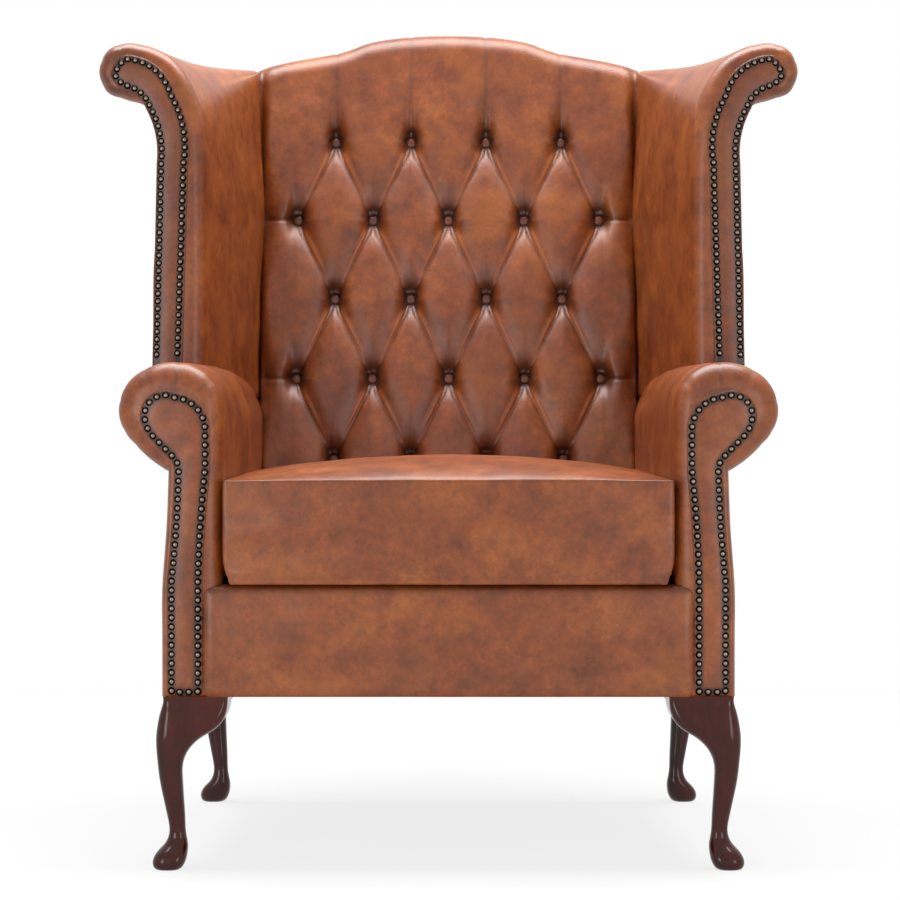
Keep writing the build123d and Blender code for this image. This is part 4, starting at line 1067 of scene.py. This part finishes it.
def outside_back():
    """Plain outside back panel, drawn tight and slightly crowned, with a turned edge."""
    low = BASE_Z
    half_low, half_high = 334.0, 339.0
    thick = 7.0
    points, _, faces = lattice((2.0, thick, 1.0), 0.0001, (0.01, 3.5, 0.008))
    u = points[:, 0] - 1.0
    w = points[:, 2]
    x = u * (half_low + (half_high - half_low) * w)
    shoulder = np.abs(x)
    wing_curve = 1072.0 - 41.0 * np.clip((shoulder - 308.0) / 32.0, 0, 1) ** 2
    join = HEAD - 6.0 * smooth(shoulder, 286.0, 304.0)
    join = np.where(shoulder > 304, np.minimum(join, wing_curve), join)
    top = np.where(shoulder < 286.0, crest(x), join)
    z = low + w * (top - 1 - low)
    rear = np.where(z < KINK_Z, BASE_DEPTH, back_depth(z) + BACK_THICK)
    soften = 3.0 * np.exp(-(((z - KINK_Z) / 26.0) ** 2))
    bow = 2.0 * (1 - np.abs(u) ** 5) * np.sin(np.pi * np.clip(w, 0, 1)) ** 0.4
    back = points[:, 1] / thick
    edge = np.minimum((1 - np.abs(u)) * 335.0, np.minimum(w, 1 - w) * 800.0)
    roll = 2.4 * np.exp(-(edge / 3.0))
    place = np.stack([x, z, z * 0], axis=1)
    soft = ripple(place, 110.0, 41) * 0.9 + ripple(place, 35.0, 42) * 0.3
    y = rear - 4.5 + back * (5.0 + bow - roll + soft - soften)
    seam = np.exp(-(((edge - 9.0) / 1.4) ** 2))
    y = y - back * 0.9 * seam
    points = np.stack([x, FRONT_Y + y, z], axis=1)
    # Painted shade in the seam's groove round the edges.
    piece = to_object("outside_back", points, faces, hide, "frame", 0.45 * seam * back)
    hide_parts("outside_back_leather")


tufted_back()
buttons()
cushion()
front_border()
deck()
arm()
wing()
facing("arm_facing_pad", ARM_LINE, 2.2, 0.0, 217.0, ("arm_facing",))
# The wing facing gets painted shade of 0.24 all over.
facing("wing_facing_pad", WING_LINE, 1.8, WING_NEAR, 598.0, ("wing_facing",), 0.24)
outside_back()


# Zip in the rear boxing of the cushion

BOX_FACES = ((0, 1, 3, 2), (4, 6, 7, 5), (0, 2, 6, 4), (1, 5, 7, 3), (0, 4, 5, 1), (2, 3, 7, 6))
TEETH = 140


def zip_tape():
    """Zip tape with its teeth, in the cushion's rear boxing."""
    low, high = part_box("cushion_zip")
    low, high = np.array(low) / MM, np.array(high) / MM
    middle_z = (low[2] + high[2]) / 2
    half = (high[0] - low[0]) / 2
    rear = FRONT_Y + RAKE_DEPTH - 1.0
    points, faces = [], []

    def slab(x0, x1, z0, z1, thick):
        start = len(points)
        for x in (x0, x1):
            for z in (z0, z1):
                y = rear + (z - RAKE_LEVEL) * SLOPE - 2.5
                points.extend([(x, y, z), (x, y + thick, z)])
        for face in BOX_FACES:
            faces.append(tuple(start + i for i in face))

    slab(-half, half, low[2], middle_z - 1.0, 1.2)
    slab(-half, half, middle_z + 1.0, high[2], 1.2)
    slab(-half, half, middle_z - 1.0, middle_z + 1.0, 0.8)
    for i in range(TEETH):
        x = -half + 3 + i * (2 * half - 6) / (TEETH - 1)
        slab(x - 0.7, x + 0.7, middle_z - 1.5, middle_z + 1.5, 1.9)
    piece = to_object(
        "cushion_zip_tape", points, faces, zip_black, "seat_cushion", None
    )
    piece.data.polygons.foreach_set("use_smooth", [False] * len(piece.data.polygons))
    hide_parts("cushion_zip")


zip_tape()


# Stage, camera and light

def direct_rays(tree):
    """1 for rays from the camera and from mirror-like or clear surfaces, else 0."""
    path = tree.nodes.new("ShaderNodeLightPath")
    seen = path.outputs["Is Camera Ray"]
    for kind in ("Is Glossy Ray", "Is Transmission Ray"):
        either = tree.nodes.new("ShaderNodeMath")
        either.operation = "MAXIMUM"
        tree.links.new(seen, either.inputs[0])
        tree.links.new(path.outputs[kind], either.inputs[1])
        seen = either.outputs[0]
    return seen


def plain(name, colour, near_glow):
    """Pale surface that shows as background white to the camera and in reflections."""
    t = Tree(name)
    t.set(Base_Color=colour, Roughness=0.9)
    seen = direct_rays(t.tree)
    away = t.add("ShaderNodeVectorMath", {"operation": "LENGTH"}, in0=t.place)
    glow = t.add("ShaderNodeMapRange", None, Value=away.outputs["Value"])
    settings = {"From Min": 0.7, "From Max": 2.2, "To Min": near_glow, "To Max": 1.0}
    for key, value in settings.items():
        glow.inputs[key].default_value = value
    glow = glow.outputs["Result"]
    emit = t.add("ShaderNodeEmission", None, Color=(1, 1, 1, 1), Strength=1.0)
    mix = t.add("ShaderNodeMixShader", None, in0=t.math("MULTIPLY", seen, glow))
    t.tree.links.new(t.shader.outputs["BSDF"], mix.inputs[1])
    t.tree.links.new(emit.outputs["Emission"], mix.inputs[2])
    t.tree.links.new(mix.outputs["Shader"], t.tree.nodes["Material Output"].inputs["Surface"])
    return t.material


def plane(name, corners, material):
    """Flat stage surface."""
    mesh = bpy.data.meshes.new(name)
    mesh.from_pydata(corners, [], [(0, 1, 2, 3)])
    mesh.materials.append(material)
    thing = bpy.data.objects.new(name, mesh)
    bpy.context.scene.collection.objects.link(thing)


REACH = 6
corners = [(-REACH, -REACH, 0), (REACH, -REACH, 0), (REACH, REACH, 0), (-REACH, REACH, 0)]
plane("floor", corners, plain("floor_white", grey(0.9), 0.8))

world = bpy.data.worlds.new("studio")
bpy.context.scene.world = world
world.use_nodes = True
world_tree = world.node_tree
ground = world_tree.nodes["Background"]
ground.inputs["Color"].default_value = (1, 1, 1, 1)
level = world_tree.nodes.new("ShaderNodeMapRange")
world_tree.links.new(direct_rays(world_tree), level.inputs["Value"])
level.inputs["To Min"].default_value = 0.3
level.inputs["To Max"].default_value = 1.0
world_tree.links.new(level.outputs["Result"], ground.inputs["Strength"])


def lamp(name, place, target, size, power):
    """Rectangular area light turned towards a target."""
    data = bpy.data.lights.new(name, "AREA")
    data.shape = "RECTANGLE"
    data.size, data.size_y = size
    data.energy = power
    thing = bpy.data.objects.new(name, data)
    thing.location = place
    thing.rotation_euler = (Vector(target) - Vector(place)).to_track_quat("-Z", "Y").to_euler()
    bpy.context.scene.collection.objects.link(thing)


lamp("top", (0.0, 0.1, 2.5), (0.0, -0.1, 0.6), (2.4, 1.2), 104)
lamp("key", (-1.25, -2.4, 0.75), (0.0, -0.2, 0.45), (0.8, 1.1), 17)
lamp("fill", (1.3, -2.4, 0.7), (0.0, -0.2, 0.45), (0.8, 1.1), 12)

PICTURE = 900  # width and height of the picture in pixels
camera_data = bpy.data.cameras.new("camera")
camera_data.lens = 112.0
camera_data.sensor_width = 36.0
camera_data.shift_x = 1.5 / PICTURE
camera_data.shift_y = -53.0 / PICTURE
camera = bpy.data.objects.new("camera", camera_data)
camera.location = (0.0, (FRONT_Y - 3500.0) * MM, 591.0 * MM)
camera.rotation_euler = (math.radians(90), 0, 0)
bpy.context.scene.collection.objects.link(camera)
bpy.context.scene.camera = camera
bpy.context.scene.view_settings.view_transform = "Standard"
